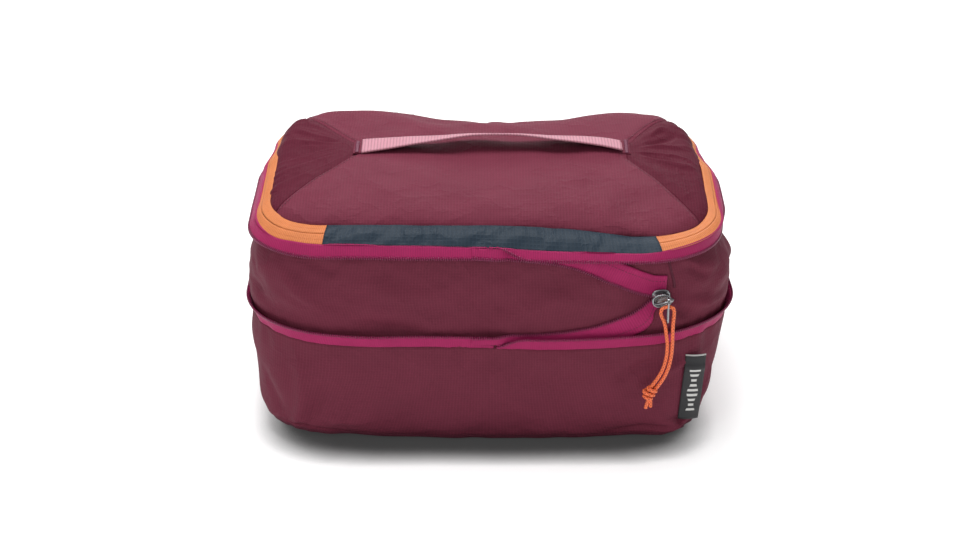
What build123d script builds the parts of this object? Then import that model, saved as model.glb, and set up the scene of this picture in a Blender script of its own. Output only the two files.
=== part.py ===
"""A soft two-part packing cube with a compression zip, a lid zip, a grab handle and a cord pull.

Millimetres. Origin at the middle of the base, X to the right, Y to the back, Z up.
The hinge of the lid and the compression slider are on the front, at -Y.
"""

from build123d import *
from math import radians, tan
import os

os.makedirs("parts", exist_ok=True)

# ---------------------------------------------------------------- driving dimensions
FABRIC = 1.5  # wall thickness of the fabric panels with their lining
TAPE = 1.2  # thickness of zip tape and webbing
GAP = 0.3  # clearance between pieces that move past each other

# Levels are (z, half width, half depth, corner radius) of the outer face.
TUB_LEVELS = [(0, 150, 94, 36), (8, 157, 104.5, 44), (40, 166, 112, 52), (85, 171, 116, 58)]
GUSSET_LEVELS = [(85, 171, 116, 58), (93, 168, 109, 55), (152, 166, 108.5, 54), (160, 166, 109, 54)]
LID_LEVELS = [(170, 154.5, 95, 44), (174, 153, 92, 42), (182, 141, 76, 34), (186, 128, 60, 26)]

LOWER_TAPE_LEVELS = [(83, 172, 117, 58), (93.3, 175, 117.5, 60)]
UPPER_TAPE_LEVELS = [(152.7, 171.5, 113.5, 57), (161.5, 167.4, 110.6, 54)]
COIL = 0.7  # height of the compression zip's teeth beyond the tape's edge

BAND_OUTER = (161.5, 165, 110, 52)
BAND_MIDDLE = (165.7, 159.8, 102.5, 48)
BAND_INNER = (170, 154.5, 95, 44)
BAND_DEPTH = 2.3  # level thickness of the sloping lid zip band
HINGE_LEFT, HINGE_RIGHT = -113.5, 118.0  # ends of the hinge panel along the front

HANDLE_WIDTH = 20
HANDLE_LEFT, HANDLE_RIGHT = -86.0, 90.0
HANDLE_RISE = 7.2  # underside of the raised strap above the lid

SLIDER_X, SLIDER_Z = 119.5, 123.0
CHANNEL_BACK, CHANNEL_FRONT = -110.9, -118.8  # faces of the slider's two plates
CROWN_Y, CROWN_Z = -124.0, 124.3  # middle of the bar that the pull tab hangs on
TAB_X, TAB_FOOT_Z = 123.7, 111.2

CORD = 2.6  # cord diameter
KNOT = (113.3, -123.0, 52.0)
KNOT_RADIUS = 5.0

MAIN_SLIDERS_MEET = -86.0  # where the two closed lid zip sliders meet, along the back
MAIN_SLIDER_X = 11.0  # distance of each lid zip slider from that place


# ---------------------------------------------------------------- helpers
def section(level, inset=0):
    """One rounded rectangle at a level, drawn in by inset."""
    z, width, depth, radius = level
    shape = RectangleRounded(2 * (width - inset), 2 * (depth - inset), radius - inset)
    return Plane.XY.offset(z) * shape


def body(levels, inset=0):
    """A solid through the levels, with straight walls from each one to the next."""
    return loft([section(level, inset) for level in levels], ruled=True)


def shell(levels, thickness):
    """The wall of a body, open at its top and bottom."""
    return body(levels) - body(levels, thickness)


def between(levels, z):
    """The level at height z, interpolated."""
    for low, high in zip(levels, levels[1:]):
        if low[0] <= z <= high[0]:
            share = (z - low[0]) / (high[0] - low[0])
            return tuple(a + (b - a) * share for a, b in zip(low, high))
    raise ValueError(z)


def prism(points, low, high):
    """An upright prism on a closed outline of plan points."""
    face = make_face(Polyline(*points, close=True))
    return Pos(0, 0, low) * extrude(face, high - low, dir=(0, 0, 1))


def box(low, high):
    """A box from its lowest to its highest corner."""
    size = [b - a for a, b in zip(low, high)]
    centre = [(a + b) / 2 for a, b in zip(low, high)]
    return Pos(*centre) * Box(*size)


def front_plate(points, y, thickness):
    """A flat plate facing the front, on a closed outline of (x, z) points."""
    face = make_face(Polyline(*[(x, y, z) for x, z in points], close=True))
    return extrude(face, thickness, dir=(0, 1, 0))


def tube(points, diameter, name):
    """A cord along straight runs joined by tangent arcs."""
    runs = [Vector(*b) - Vector(*a) for a, b in zip(points, points[1:])]
    radii = []
    for before, after in zip(runs, runs[1:]):
        turn = before.get_angle(after)
        shorter = min(before.length, after.length)
        radii.append(0.45 * shorter / tan(radians(turn) / 2))
    path = FilletPolyline(*points, radius=radii)
    ring = Plane(origin=path @ 0, z_dir=path % 0) * Circle(diameter / 2)
    solid = sweep(ring, path=path)
    ideal = ring.area * path.length
    print(name, "length", round(path.length, 1), "radii", [round(r, 1) for r in radii])
    print(name, "volume", round(solid.volume, 1), "section x length", round(ideal, 1))
    return solid


def save(node, shape):
    """Write one named piece."""
    shape.label = node
    export_step(shape, f"parts/{node}.step")


# Plan wedges that cut a round wall into its four panels, through the corner arcs' centres.
CORNER_X, CORNER_Y, FAR = 110, 56, 150
FRONT = [(-CORNER_X, -CORNER_Y), (CORNER_X, -CORNER_Y),
         (CORNER_X + FAR, -CORNER_Y - FAR), (-CORNER_X - FAR, -CORNER_Y - FAR)]
RIGHT = [(CORNER_X, -CORNER_Y), (CORNER_X, CORNER_Y),
         (CORNER_X + FAR, CORNER_Y + FAR), (CORNER_X + FAR, -CORNER_Y - FAR)]
BACK = [(x, -y) for x, y in FRONT]
LEFT = [(-x, y) for x, y in RIGHT]
SIDES = {"front": FRONT, "back": BACK, "left": LEFT, "right": RIGHT}


def panels(wall, low, high):
    """The four panels of a wall, by side."""
    return {side: wall & prism(outline, low - 1, high + 1) for side, outline in SIDES.items()}


# ---------------------------------------------------------------- tub: base and lower walls
tub_wall = shell(TUB_LEVELS, FABRIC)
tub_top = TUB_LEVELS[-1][0]
for side, panel in panels(tub_wall, 0, tub_top).items():
    save(f"lower_{side}_panel", panel)

floor_levels = [TUB_LEVELS[0], between(TUB_LEVELS, FABRIC)]
save("base_panel", body(floor_levels, FABRIC))

SEAM_HEIGHT = 4
base_seam = [between(TUB_LEVELS, z) for z in (FABRIC, FABRIC + SEAM_HEIGHT)]
save("base_seam_binding", body(base_seam, FABRIC) - body(base_seam, 2 * FABRIC))

upper_seam = [between(TUB_LEVELS, z) for z in (tub_top - SEAM_HEIGHT, tub_top)]
save("lower_seam_binding", body(upper_seam, FABRIC) - body(upper_seam, FABRIC + TAPE))

# The side label is sewn flat on the front right corner.
LABEL_WIDTH_X, LABEL_HEIGHT_Z, LABEL_THICKNESS = (134, 153), (14, 66), 0.8
label_band = [between(TUB_LEVELS, z) for z in LABEL_HEIGHT_Z]
label_band.insert(1, TUB_LEVELS[2])
label_skin = body(label_band, -LABEL_THICKNESS) - body(label_band)
label_box = box((LABEL_WIDTH_X[0], -130, 0), (LABEL_WIDTH_X[1], 0, 90))
save("side_label", label_skin & label_box)

# ---------------------------------------------------------------- gusset that folds away
gusset_top = GUSSET_LEVELS[-1][0]
gusset_wall = shell(GUSSET_LEVELS, FABRIC)
for side, panel in panels(gusset_wall, tub_top, gusset_top).items():
    save(f"gusset_{side}_panel", panel)

# ---------------------------------------------------------------- compression zip
lower_tape = shell(LOWER_TAPE_LEVELS, TAPE)
wall_below = body(TUB_LEVELS) + body(GUSSET_LEVELS)
save("compression_lower_tape", lower_tape - wall_below)
upper_tape = shell(UPPER_TAPE_LEVELS, TAPE)
save("compression_upper_tape", upper_tape)


def coil_ring(edge, low, high):
    """The row of teeth along a tape's free edge, as one plain bead."""
    z, width, depth, radius = edge
    levels = [(low, width, depth, radius), (high, width, depth, radius)]
    return shell(levels, TAPE)


lower_edge = LOWER_TAPE_LEVELS[-1]
upper_edge = UPPER_TAPE_LEVELS[0]
save("compression_lower_coil", coil_ring(lower_edge, lower_edge[0], lower_edge[0] + COIL))
save("compression_upper_coil", coil_ring(upper_edge, upper_edge[0] - COIL, upper_edge[0]))

# The zip's first stretch leaves the rim and the lower seam and meets in the slider.
RIBBON_Y = CHANNEL_BACK - 1.3
RIBBON_END = 112.4
upper_ribbon = [(20, 149.5), (60, 138), (104, 125.5), (RIBBON_END, 123.6),
                (RIBBON_END, 141), (60, 151.8), (20, 151.8)]
lower_ribbon = [(20, 94), (48, 96.5), (70, 101), (104, 116), (RIBBON_END, 122.2),
                (RIBBON_END, 104), (82, 94), (60, 92.7)]
save("ribbon_upper", front_plate(upper_ribbon, RIBBON_Y, TAPE))
save("ribbon_lower", front_plate(lower_ribbon, RIBBON_Y, TAPE))
zip_end = [(127.0, 119.6), (132, 119.6), (132, 124), (127.0, 124)]
save("zip_end_tab", front_plate(zip_end, RIBBON_Y, TAPE))

# ---------------------------------------------------------------- compression slider and pull
PLATE, POST = 1.3, 1.0
SLIDER_LENGTH, SLIDER_HEIGHT = 13.4, 10.0
left, right = SLIDER_X - SLIDER_LENGTH / 2, SLIDER_X + SLIDER_LENGTH / 2
bottom, top = SLIDER_Z - SLIDER_HEIGHT / 2, SLIDER_Z + SLIDER_HEIGHT / 2


def slider_plate(y):
    """One plate of a slider, rounded at its corners, from y towards the back."""
    plate = box((left, y, bottom), (right, y + PLATE, top))
    return fillet(plate.edges().filter_by(Axis.Y), 3.5)


LEG, BAR = 1.2, 0.7
slider = slider_plate(CHANNEL_FRONT - PLATE) + slider_plate(CHANNEL_BACK)
slider += box((right - 5.5, CHANNEL_FRONT, SLIDER_Z - POST / 2),
              (right - 1.5, CHANNEL_BACK, SLIDER_Z + POST / 2))
for leg_x in (TAB_X - 3.6, TAB_X + 1.2):
    slider += box((leg_x, CROWN_Y - BAR, CROWN_Z - BAR),
                  (leg_x + LEG, CHANNEL_FRONT - PLATE, CROWN_Z + BAR))
bar_plane = Plane(origin=(TAB_X - 2.8, CROWN_Y, CROWN_Z), z_dir=(1, 0, 0))
slider += extrude(bar_plane * Circle(BAR), 4.6)
save("compression_slider_body", slider)

TAB_THICKNESS, TAB_OUTSIDE, TAB_INSIDE = 1.0, 3.1, 2.0
tab_length = CROWN_Z - TAB_FOOT_Z
tab_plane = Plane(origin=(TAB_X - TAB_THICKNESS / 2, CROWN_Y, (CROWN_Z + TAB_FOOT_Z) / 2),
                  x_dir=(0, 0, 1), z_dir=(1, 0, 0))
tab_outline = SlotCenterToCenter(tab_length, 2 * TAB_OUTSIDE)
tab_window = SlotCenterToCenter(tab_length, 2 * TAB_INSIDE)
save("compression_tab", extrude(tab_plane * (tab_outline - tab_window), TAB_THICKNESS))

# The cord goes through the tab; its two strands hang down to one knot.
EYE = (TAB_X, -124.0, 120.9)
strand_left_route = [EYE, (120.7, -124.1, 120.6), (118.7, -124.3, 118.0), (118.9, -124.4, 114.4),
                     (121.0, -124.3, 110.4), (122.4, -124.0, 104.8), (123.3, -123.7, 98.0),
                     (124.5, -123.4, 90.0), (124.1, -123.2, 80.0), (121.8, -123.0, 70.0),
                     (117.6, -123.0, 61.5), (KNOT[0] - 1.6, KNOT[1], KNOT[2] + 1)]
strand_right_route = [EYE, (126.6, -124.0, 120.5), (128.0, -124.1, 117.9), (127.9, -124.2, 113.6),
                      (127.5, -124.1, 108.0), (127.5, -123.8, 100.0), (127.8, -123.5, 91.0),
                      (127.3, -123.2, 80.0), (125.1, -123.1, 69.0), (120.9, -123.0, 59.8),
                      (KNOT[0] + 2.0, KNOT[1], KNOT[2])]
knot = Pos(*KNOT) * Sphere(KNOT_RADIUS)
TAILS = {"left": (-2.6, 0.3, -13.0), "right": (0.9, 0.6, -12.0)}
for tail in TAILS.values():
    tail_end = tuple(a + b for a, b in zip(KNOT, tail))
    tail_plane = Plane(origin=KNOT, z_dir=tail)
    knot += extrude(tail_plane * Circle(CORD / 2), Vector(*tail).length)
save("cord_knot", knot)
for name, route in (("cord_strand_left", strand_left_route),
                    ("cord_strand_right", strand_right_route)):
    save(name, tube(route, CORD, name) - knot)

# ---------------------------------------------------------------- rim
rim_levels = [(160.3, 166.2, 109.4, 54), (161.5, 166.2, 109.4, 54)]
save("rim_binding", shell(rim_levels, 3.5))

hinge_gap = box((HINGE_LEFT, -130, 150), (HINGE_RIGHT, -60, 180))
lower_band = shell([BAND_OUTER, BAND_MIDDLE], BAND_DEPTH)
save("main_zip_lower_tape", lower_band - hinge_gap)
lid_start = between([BAND_MIDDLE, BAND_INNER], BAND_MIDDLE[0] + GAP)
upper_band = shell([lid_start, BAND_INNER], BAND_DEPTH)
save("main_zip_upper_tape", upper_band - hinge_gap)

# The lid zip's teeth lie under its tapes, one row on each side of the closing line.
TEETH = 1.4
lower_teeth_top = BAND_MIDDLE[0] - 0.4
lower_teeth = between([BAND_OUTER, BAND_MIDDLE], lower_teeth_top)
lower_teeth_levels = [(lower_teeth_top - TEETH, *lower_teeth[1:]), lower_teeth]
ring = body(lower_teeth_levels, BAND_DEPTH + 0.8) - body(lower_teeth_levels, BAND_DEPTH + 2.2)
save("main_zip_lower_coil", ring - lower_band - hinge_gap)
upper_teeth_levels = [lid_start, (lid_start[0] + TEETH, *lid_start[1:])]
ring = body(upper_teeth_levels, BAND_DEPTH + 0.8) - body(upper_teeth_levels, BAND_DEPTH + 2.2)
save("main_zip_upper_coil", ring - upper_band - hinge_gap)

# ---------------------------------------------------------------- lid
panel_start = between([BAND_OUTER, BAND_MIDDLE], BAND_OUTER[0] + 0.5)
hinge_band = shell([panel_start, BAND_MIDDLE, BAND_INNER], BAND_DEPTH)
save("hinge_panel", hinge_band & hinge_gap)

lid_top = LID_LEVELS[-1][0]
lid_hollow = LID_LEVELS[:-1] + [between(LID_LEVELS, lid_top - FABRIC)]
lid_shell = body(LID_LEVELS) - body(lid_hollow, FABRIC)
SEAM_APEX, SEAM_HALF = 97, 9
left_wedge = [(-SEAM_APEX, -SEAM_HALF), (-SEAM_APEX, SEAM_HALF), (-166, 82), (-200, 82),
              (-200, -86), (-164, -86)]
right_wedge = [(-x + 4, y) for x, y in left_wedge]
left_prism = prism(left_wedge, 160, 200)
right_prism = prism(right_wedge, 160, 200)
save("lid_centre_panel", lid_shell - left_prism - right_prism)
save("lid_left_panel", lid_shell & left_prism)
save("lid_right_panel", lid_shell & right_prism)

# ---------------------------------------------------------------- handle
strap_low = lid_top + 4.5
strap_high = lid_top + HANDLE_RISE
ANCHOR_LENGTH, ANCHOR_SLOPE, BARTACK = 8, 8.5, 0.7


def webbing(points):
    """Webbing of the handle's width along (x, z) points of its underside."""
    upper = [(x, z + TAPE) for x, z in reversed(points)]
    plate = front_plate(points + upper, -HANDLE_WIDTH / 2, HANDLE_WIDTH)
    return plate


inner_left, inner_right = HANDLE_LEFT + 34, HANDLE_RIGHT - 34
save("handle_strap", webbing([(HANDLE_LEFT, strap_low), (inner_left, strap_high),
                              (inner_right, strap_high), (HANDLE_RIGHT, strap_low)]))
for side, end, out in (("left", HANDLE_LEFT - GAP, -1), ("right", HANDLE_RIGHT + GAP, 1)):
    foot, tip = end + out * ANCHOR_SLOPE, end + out * (ANCHOR_SLOPE + ANCHOR_LENGTH)
    profile = [(end, strap_low), (foot, lid_top), (tip, lid_top)]
    save(f"handle_anchor_{side}", webbing(profile))
    low_x, high_x = sorted((foot + out * 2, foot + out * 6))
    save(f"handle_bartack_{side}",
         box((low_x, -9, lid_top + TAPE), (high_x, 9, lid_top + TAPE + BARTACK)))

# ---------------------------------------------------------------- lid zip sliders at the back
slope = Vector(0, BAND_INNER[2] - BAND_OUTER[2], BAND_INNER[0] - BAND_OUTER[0]).normalized()
outward = Vector(0, slope.Z, -slope.Y)


def back_plane(x):
    """A plane on the closing line at the back: X along it, Z out of the band."""
    return Plane(origin=(x, BAND_MIDDLE[2], BAND_MIDDLE[0]), x_dir=(1, 0, 0), z_dir=outward)


PLATE_RISE = 0.45  # gap between the tapes and the slider's plate
TAB_RISE, TAB_STRIP = 2.9, 1.2  # height of the tab's end strip, and the strip's width
ARCH_HALF, ARCH_WIDTH, ARCH_UNDERSIDE = 4.2, 1.6, 4.0  # the crown that the strip turns under
plate_top = PLATE_RISE + PLATE
for side, out in (("left", -1), ("right", 1)):
    base = back_plane(MAIN_SLIDERS_MEET + out * MAIN_SLIDER_X)
    plate = Pos(0, 0, PLATE_RISE + PLATE / 2) * Box(13, 9, PLATE)
    plate = fillet(plate.edges().filter_by(Axis.Z), 3)
    half_width = ARCH_WIDTH / 2
    arch = box((-ARCH_HALF, -half_width, plate_top),
               (ARCH_HALF, half_width, ARCH_UNDERSIDE + LEG))
    arch -= box((-ARCH_HALF + LEG, -half_width, plate_top),
                (ARCH_HALF - LEG, half_width, ARCH_UNDERSIDE))
    save(f"main_slider_{side}_body", base * (plate + arch))
    tab_shape = RectangleRounded(18, 5.4, 2.2)
    tab_shape -= Pos(-out * 4.8, 0) * RectangleRounded(6, 2.8, 0.8)
    tab_shape -= Pos(out * 4.6, 0) * SlotCenterToCenter(3, 2.2)
    middle_x = out * (9 - TAB_STRIP / 2)
    tab = Pos(middle_x, 0, TAB_RISE - TAB_THICKNESS / 2) * extrude(tab_shape, TAB_THICKNESS)
    save(f"main_tab_{side}", base * tab)

print("outward direction of the lid zip band at the back", outward)
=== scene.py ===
"""The looks of a soft packing cube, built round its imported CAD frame.

Shapes are worked out in millimetres, X right, Y back, Z up, and scaled to metres as each mesh is made.
"""
import math

import bpy
import numpy as np
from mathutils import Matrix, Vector


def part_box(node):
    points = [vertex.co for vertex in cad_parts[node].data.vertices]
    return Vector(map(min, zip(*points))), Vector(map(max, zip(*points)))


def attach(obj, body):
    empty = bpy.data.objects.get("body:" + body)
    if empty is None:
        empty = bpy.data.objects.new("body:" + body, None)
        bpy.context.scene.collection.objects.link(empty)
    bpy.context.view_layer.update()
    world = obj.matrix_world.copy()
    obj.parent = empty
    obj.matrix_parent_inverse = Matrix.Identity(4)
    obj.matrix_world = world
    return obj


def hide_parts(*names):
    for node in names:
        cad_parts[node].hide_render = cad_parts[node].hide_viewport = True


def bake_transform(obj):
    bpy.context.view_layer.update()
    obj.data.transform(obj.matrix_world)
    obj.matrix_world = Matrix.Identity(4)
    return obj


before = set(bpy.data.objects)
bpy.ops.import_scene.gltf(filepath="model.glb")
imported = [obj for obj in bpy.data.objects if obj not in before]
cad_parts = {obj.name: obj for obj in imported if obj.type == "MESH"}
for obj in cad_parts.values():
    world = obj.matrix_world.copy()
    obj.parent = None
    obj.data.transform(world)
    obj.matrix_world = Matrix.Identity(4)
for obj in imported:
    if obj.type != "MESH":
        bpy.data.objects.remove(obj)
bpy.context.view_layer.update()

MM = 0.001
TURN = 2 * math.pi
SCENE = bpy.context.scene


def extent(node):
    """Lowest and highest corner of a CAD node, in millimetres."""
    low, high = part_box(node)
    return np.array(low) / MM, np.array(high) / MM


# ---------------------------------------------------------------- camera, lights, world
ELEVATION = math.radians(27)
DISTANCE = 1.6
AIM = Vector((0.0, 0.006, 0.080))
LENS = 78.2
SHIFT_Y = -0.001
WORLD_STRENGTH = 0.35
# Each square soft box faces the middle of the object: its name, place, side and power.
SOFT_BOXES = [("top_soft_box", (-0.15, 0.25, 1.6), 1.0, 26), ("front_soft_box", (-0.8, -1.6, 1.3), 0.7, 10),
              ("right_soft_box", (1.6, -0.8, 0.8), 0.8, 2), ("back_soft_box", (0.2, 1.6, 1.1), 1.0, 10)]

camera = bpy.data.objects.new("camera", bpy.data.cameras.new("camera"))
SCENE.collection.objects.link(camera)
camera.location = AIM + DISTANCE * Vector((0, -math.cos(ELEVATION), math.sin(ELEVATION)))
camera.rotation_euler = (math.pi / 2 - ELEVATION, 0, 0)
camera.data.lens = LENS
camera.data.shift_y = SHIFT_Y
SCENE.camera = camera
SCENE.view_settings.view_transform = "Standard"

for name, place, side, power in SOFT_BOXES:
    data = bpy.data.lights.new(name, "AREA")
    data.size = side
    data.energy = power
    light = bpy.data.objects.new(name, data)
    SCENE.collection.objects.link(light)
    light.location = place
    light.rotation_euler = (AIM - Vector(place)).to_track_quat("-Z", "Y").to_euler()

world = bpy.data.worlds.new("studio")
world.use_nodes = True
world.node_tree.nodes["Background"].inputs["Color"].default_value = (1, 1, 1, 1)
world.node_tree.nodes["Background"].inputs["Strength"].default_value = WORLD_STRENGTH
SCENE.world = world


# ---------------------------------------------------------------- material nodes
class Graph:
    """A material's node tree, with short calls for the nodes used here."""

    def __init__(self, name, colour, roughness, **sockets):
        self.material = bpy.data.materials.new(name)
        self.material.use_nodes = True
        self.tree = self.material.node_tree
        self.shader = self.tree.nodes["Principled BSDF"]
        self.shader.inputs["Base Color"].default_value = (*colour, 1)
        self.shader.inputs["Roughness"].default_value = roughness
        self.colour = colour
        for socket, value in sockets.items():
            self.shader.inputs[socket.replace("_", " ")].default_value = value

    def node(self, kind, **settings):
        node = self.tree.nodes.new("ShaderNode" + kind)
        for name, value in settings.items():
            setattr(node, name, value)
        return node

    def put(self, socket, value):
        """Set a socket to a number or link it to another socket."""
        if isinstance(value, bpy.types.NodeSocket):
            self.tree.links.new(value, socket)
        else:
            socket.default_value = value

    def math(self, operation, first, second=0.0):
        node = self.node("Math", operation=operation)
        self.put(node.inputs[0], first)
        self.put(node.inputs[1], second)
        return node.outputs[0]

    def times(self, first, second):
        return self.math("MULTIPLY", first, second)

    def uv(self):
        """The two surface coordinates, in metres of cloth, and both as one vector."""
        both = self.node("UVMap").outputs[0]
        split = self.node("SeparateXYZ")
        self.put(split.inputs[0], both)
        return split.outputs[0], split.outputs[1], both

    def place(self):
        return self.node("TexCoord").outputs["Object"]

    def noise(self, vector, scale, detail=2.0):
        node = self.node("TexNoise")
        self.put(node.inputs["Vector"], vector)
        self.put(node.inputs["Scale"], scale)
        self.put(node.inputs["Detail"], detail)
        return node.outputs["Fac"]

    def thread(self, coordinate, pitch, sharpness=1.0):
        """Rounded threads across a coordinate, from 0 between them to 1 on top."""
        wave = self.math("ABSOLUTE", self.math("SINE", self.times(coordinate, math.pi / pitch)))
        return self.math("POWER", wave, sharpness)

    def tint(self, factor, low, high):
        """A value from low to high as the factor goes from 0 to 1."""
        ramp = self.node("MapRange")
        self.put(ramp.inputs["Value"], factor)
        self.put(ramp.inputs["To Min"], low)
        self.put(ramp.inputs["To Max"], high)
        return ramp.outputs[0]

    def shade(self, *factors, colour=None):
        """Multiply the base colour, or another one, by grey factors."""
        total = factors[0]
        for factor in factors[1:]:
            total = self.times(total, factor)
        mix = self.node("VectorMath", operation="SCALE")
        self.put(mix.inputs[0], colour or self.colour)
        self.put(mix.inputs["Scale"], total)
        self.put(self.shader.inputs["Base Color"], mix.outputs[0])

    def bump(self, height, strength, distance, before=None):
        node = self.node("Bump")
        self.put(node.inputs["Strength"], strength)
        self.put(node.inputs["Distance"], distance)
        self.put(node.inputs["Height"], height)
        if before is not None:
            self.put(node.inputs["Normal"], before)
        return node.outputs[0]

    def finish(self, normal=None, roughness=None):
        for name, value in (("Normal", normal), ("Roughness", roughness)):
            if value is not None:
                self.put(self.shader.inputs[name], value)
        return self.material


def ripstop(name, colour, roughness, pitch, sheen=0.0, specular=0.12):
    """Thin coated nylon: a fine plain weave with a doubled thread at each pitch both ways."""
    thread_pitch, rib_sharpness = 0.00042, 10
    g = Graph(name, colour, roughness, Sheen_Weight=sheen, Sheen_Roughness=0.35,
              Specular_IOR_Level=specular)
    u, v, both = g.uv()
    rib_u, rib_v = g.thread(u, pitch, rib_sharpness), g.thread(v, pitch, rib_sharpness)
    weave = g.times(g.thread(u, thread_pitch), g.thread(v, thread_pitch))
    cloud = g.noise(both, 28.0, 3.0)
    fine = g.noise(both, 240.0)
    g.shade(g.tint(rib_u, 0.95, 1.14), g.tint(rib_v, 0.985, 1.05), g.tint(cloud, 0.88, 1.12),
            g.tint(fine, 0.94, 1.06))
    ridge = g.math("ABSOLUTE", g.math("SUBTRACT", g.noise(both, 34.0, 4.0), 0.5))
    crease = g.math("POWER", g.math("SUBTRACT", 1.0, g.times(ridge, 2.0)), 6.0)
    normal = g.bump(g.math("MAXIMUM", rib_u, rib_v), 0.5, 0.00018)
    normal = g.bump(weave, 0.15, 0.00005, normal)
    normal = g.bump(cloud, 0.6, 0.0008, normal)
    normal = g.bump(crease, 0.65, 0.0009, normal)
    return g.finish(normal, g.tint(fine, roughness - 0.06, roughness + 0.06))


def tape_weave(name, colour, roughness):
    """Zip tape: a tight herringbone of fine threads, ribbed along its length."""
    thread_pitch, slant_pitch, rib_pitch = 0.00055, 0.0006, 0.0016
    g = Graph(name, colour, roughness, Sheen_Weight=0.02, Sheen_Roughness=0.4, Specular_IOR_Level=0.15)
    u, v, both = g.uv()
    lengthwise = g.thread(v, thread_pitch)
    slant = g.thread(g.math("ADD", u, g.times(v, 0.8)), slant_pitch)
    ribs = g.thread(u, rib_pitch, 1.6)
    cloud = g.noise(both, 60.0)
    fine = g.noise(both, 500.0)
    g.shade(g.tint(lengthwise, 0.88, 1.05), g.tint(slant, 0.92, 1.05), g.tint(ribs, 0.84, 1.08),
            g.tint(cloud, 0.86, 1.12), g.tint(fine, 0.92, 1.08))
    normal = g.bump(g.times(lengthwise, slant), 0.5, 0.00012)
    normal = g.bump(ribs, 0.35, 0.00015, normal)
    return g.finish(g.bump(cloud, 0.4, 0.0004, normal))


def webbing_weave(name, colour):
    """Flat webbing: cross ribs with fine threads between them."""
    rib_pitch, thread_pitch = 0.0023, 0.0009
    g = Graph(name, colour, 0.6, Sheen_Weight=0.05, Sheen_Roughness=0.4)
    u, v, both = g.uv()
    ribs = g.thread(u, rib_pitch, 0.7)
    threads = g.thread(v, thread_pitch)
    fine = g.noise(both, 400.0)
    g.shade(g.tint(ribs, 0.66, 1.12), g.tint(threads, 0.93, 1.04), g.tint(fine, 0.94, 1.06))
    return g.finish(g.bump(threads, 0.3, 0.0001, g.bump(ribs, 0.6, 0.0003)))


def thread_material(name, colour, roughness=0.55):
    """Twisted sewing thread or moulded teeth, with a slight change of tone."""
    g = Graph(name, colour, roughness)
    tone = g.noise(g.place(), 700.0)
    g.shade(g.tint(tone, 0.85, 1.15))
    return g.finish(g.bump(tone, 0.4, 0.0001))


def plated_metal(name, colour):
    """Dark plated zinc with worn, brighter spots."""
    g = Graph(name, colour, 0.28, Metallic=1.0)
    wear = g.noise(g.place(), 260.0, 4.0)
    g.shade(g.tint(wear, 0.65, 1.25))
    return g.finish(g.bump(wear, 0.25, 0.0001), g.tint(wear, 0.18, 0.42))


def cord_material(name, colour):
    """Braided cord yarns."""
    yarn_pitch = 0.0026
    g = Graph(name, colour, 0.6, Sheen_Weight=0.05, Sheen_Roughness=0.4)
    u, v = g.uv()[:2]
    there = g.thread(g.math("ADD", u, v), yarn_pitch, 2.0)
    back = g.thread(g.math("SUBTRACT", u, v), yarn_pitch, 2.0)
    braid = g.math("MAXIMUM", there, back)
    tone = g.noise(g.place(), 500.0)
    g.shade(g.tint(tone, 0.82, 1.14), g.tint(braid, 0.42, 1.22))
    return g.finish(g.bump(braid, 0.7, 0.0003))


def label_material(name, ground, mark, hem_height):
    """Satin woven label with a generic row of woven bars, whose lengths change in a slow wave."""
    middle, half_bar, wave_reach, wave_length = 0.0080, 0.0030, 0.0011, 0.0193
    lowest_bar, highest_bar, bar_pitch = 0.0075, 0.0455, 0.0042
    g = Graph(name, ground, 0.55)
    u, v = g.uv()[:2]
    weft = g.thread(v, 0.0005)
    warp = g.thread(u, 0.0004)
    reach = g.times(g.math("SINE", g.times(v, TURN / wave_length)), wave_reach)
    across = g.math("LESS_THAN", g.math("ABSOLUTE", g.math("SUBTRACT", u, middle)),
                    g.math("ADD", reach, half_bar))
    along_label = g.times(g.math("GREATER_THAN", v, lowest_bar), g.math("LESS_THAN", v, highest_bar))
    bars = g.math("GREATER_THAN", g.math("SINE", g.times(v, TURN / bar_pitch)), 0.1)
    hem = g.math("GREATER_THAN", v, hem_height)
    mark_on = g.math("MAXIMUM", g.times(g.times(across, along_label), bars), hem)
    mix = g.node("Mix", data_type="RGBA")
    g.put(mix.inputs[0], mark_on)
    g.put(mix.inputs[6], (*ground, 1))
    g.put(mix.inputs[7], (*mark, 1))
    g.shade(g.tint(weft, 0.8, 1.05), g.tint(warp, 0.9, 1.05), colour=mix.outputs[2])
    return g.finish(g.bump(g.math("ADD", g.times(weft, 0.5), mark_on), 0.5, 0.00015))


def studio_floor():
    """A white floor that glows a little, with a painted contact shadow: it darkens where the object is close
    in front of it.
    """
    reach, samples, lean_y, lean_z = 0.040, 48, 0.93, 0.37
    closed, span, darkest = 0.40, 0.37, 0.07
    g = Graph("studio_floor", (0.66, 0.66, 0.66), 0.9, Specular_IOR_Level=0.0)
    near = g.node("AmbientOcclusion", samples=samples)
    g.put(near.inputs["Distance"], reach)
    lean = g.node("CombineXYZ")
    g.put(lean.inputs["Y"], lean_y)
    g.put(lean.inputs["Z"], lean_z)
    g.put(near.inputs["Normal"], lean.outputs["Vector"])
    # The occlusion, leaned to the back, paints a contact shadow in front of the object into the floor's
    # colour and glow.
    open_share = g.math("DIVIDE", g.math("SUBTRACT", near.outputs["AO"], closed), span)
    open_share = g.math("MINIMUM", g.math("MAXIMUM", open_share, 0.0), 1.0)
    painted_contact_shadow = g.math("ADD", darkest, g.times(1 - darkest, g.math("POWER", open_share, 1.2)))
    g.shade(g.tint(g.noise(g.place(), 1.5), 0.995, 1.005), painted_contact_shadow)
    g.put(g.shader.inputs["Emission Color"], (1, 1, 1, 1))
    g.put(g.shader.inputs["Emission Strength"], g.times(painted_contact_shadow, 0.5))
    return g.finish()


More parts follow.
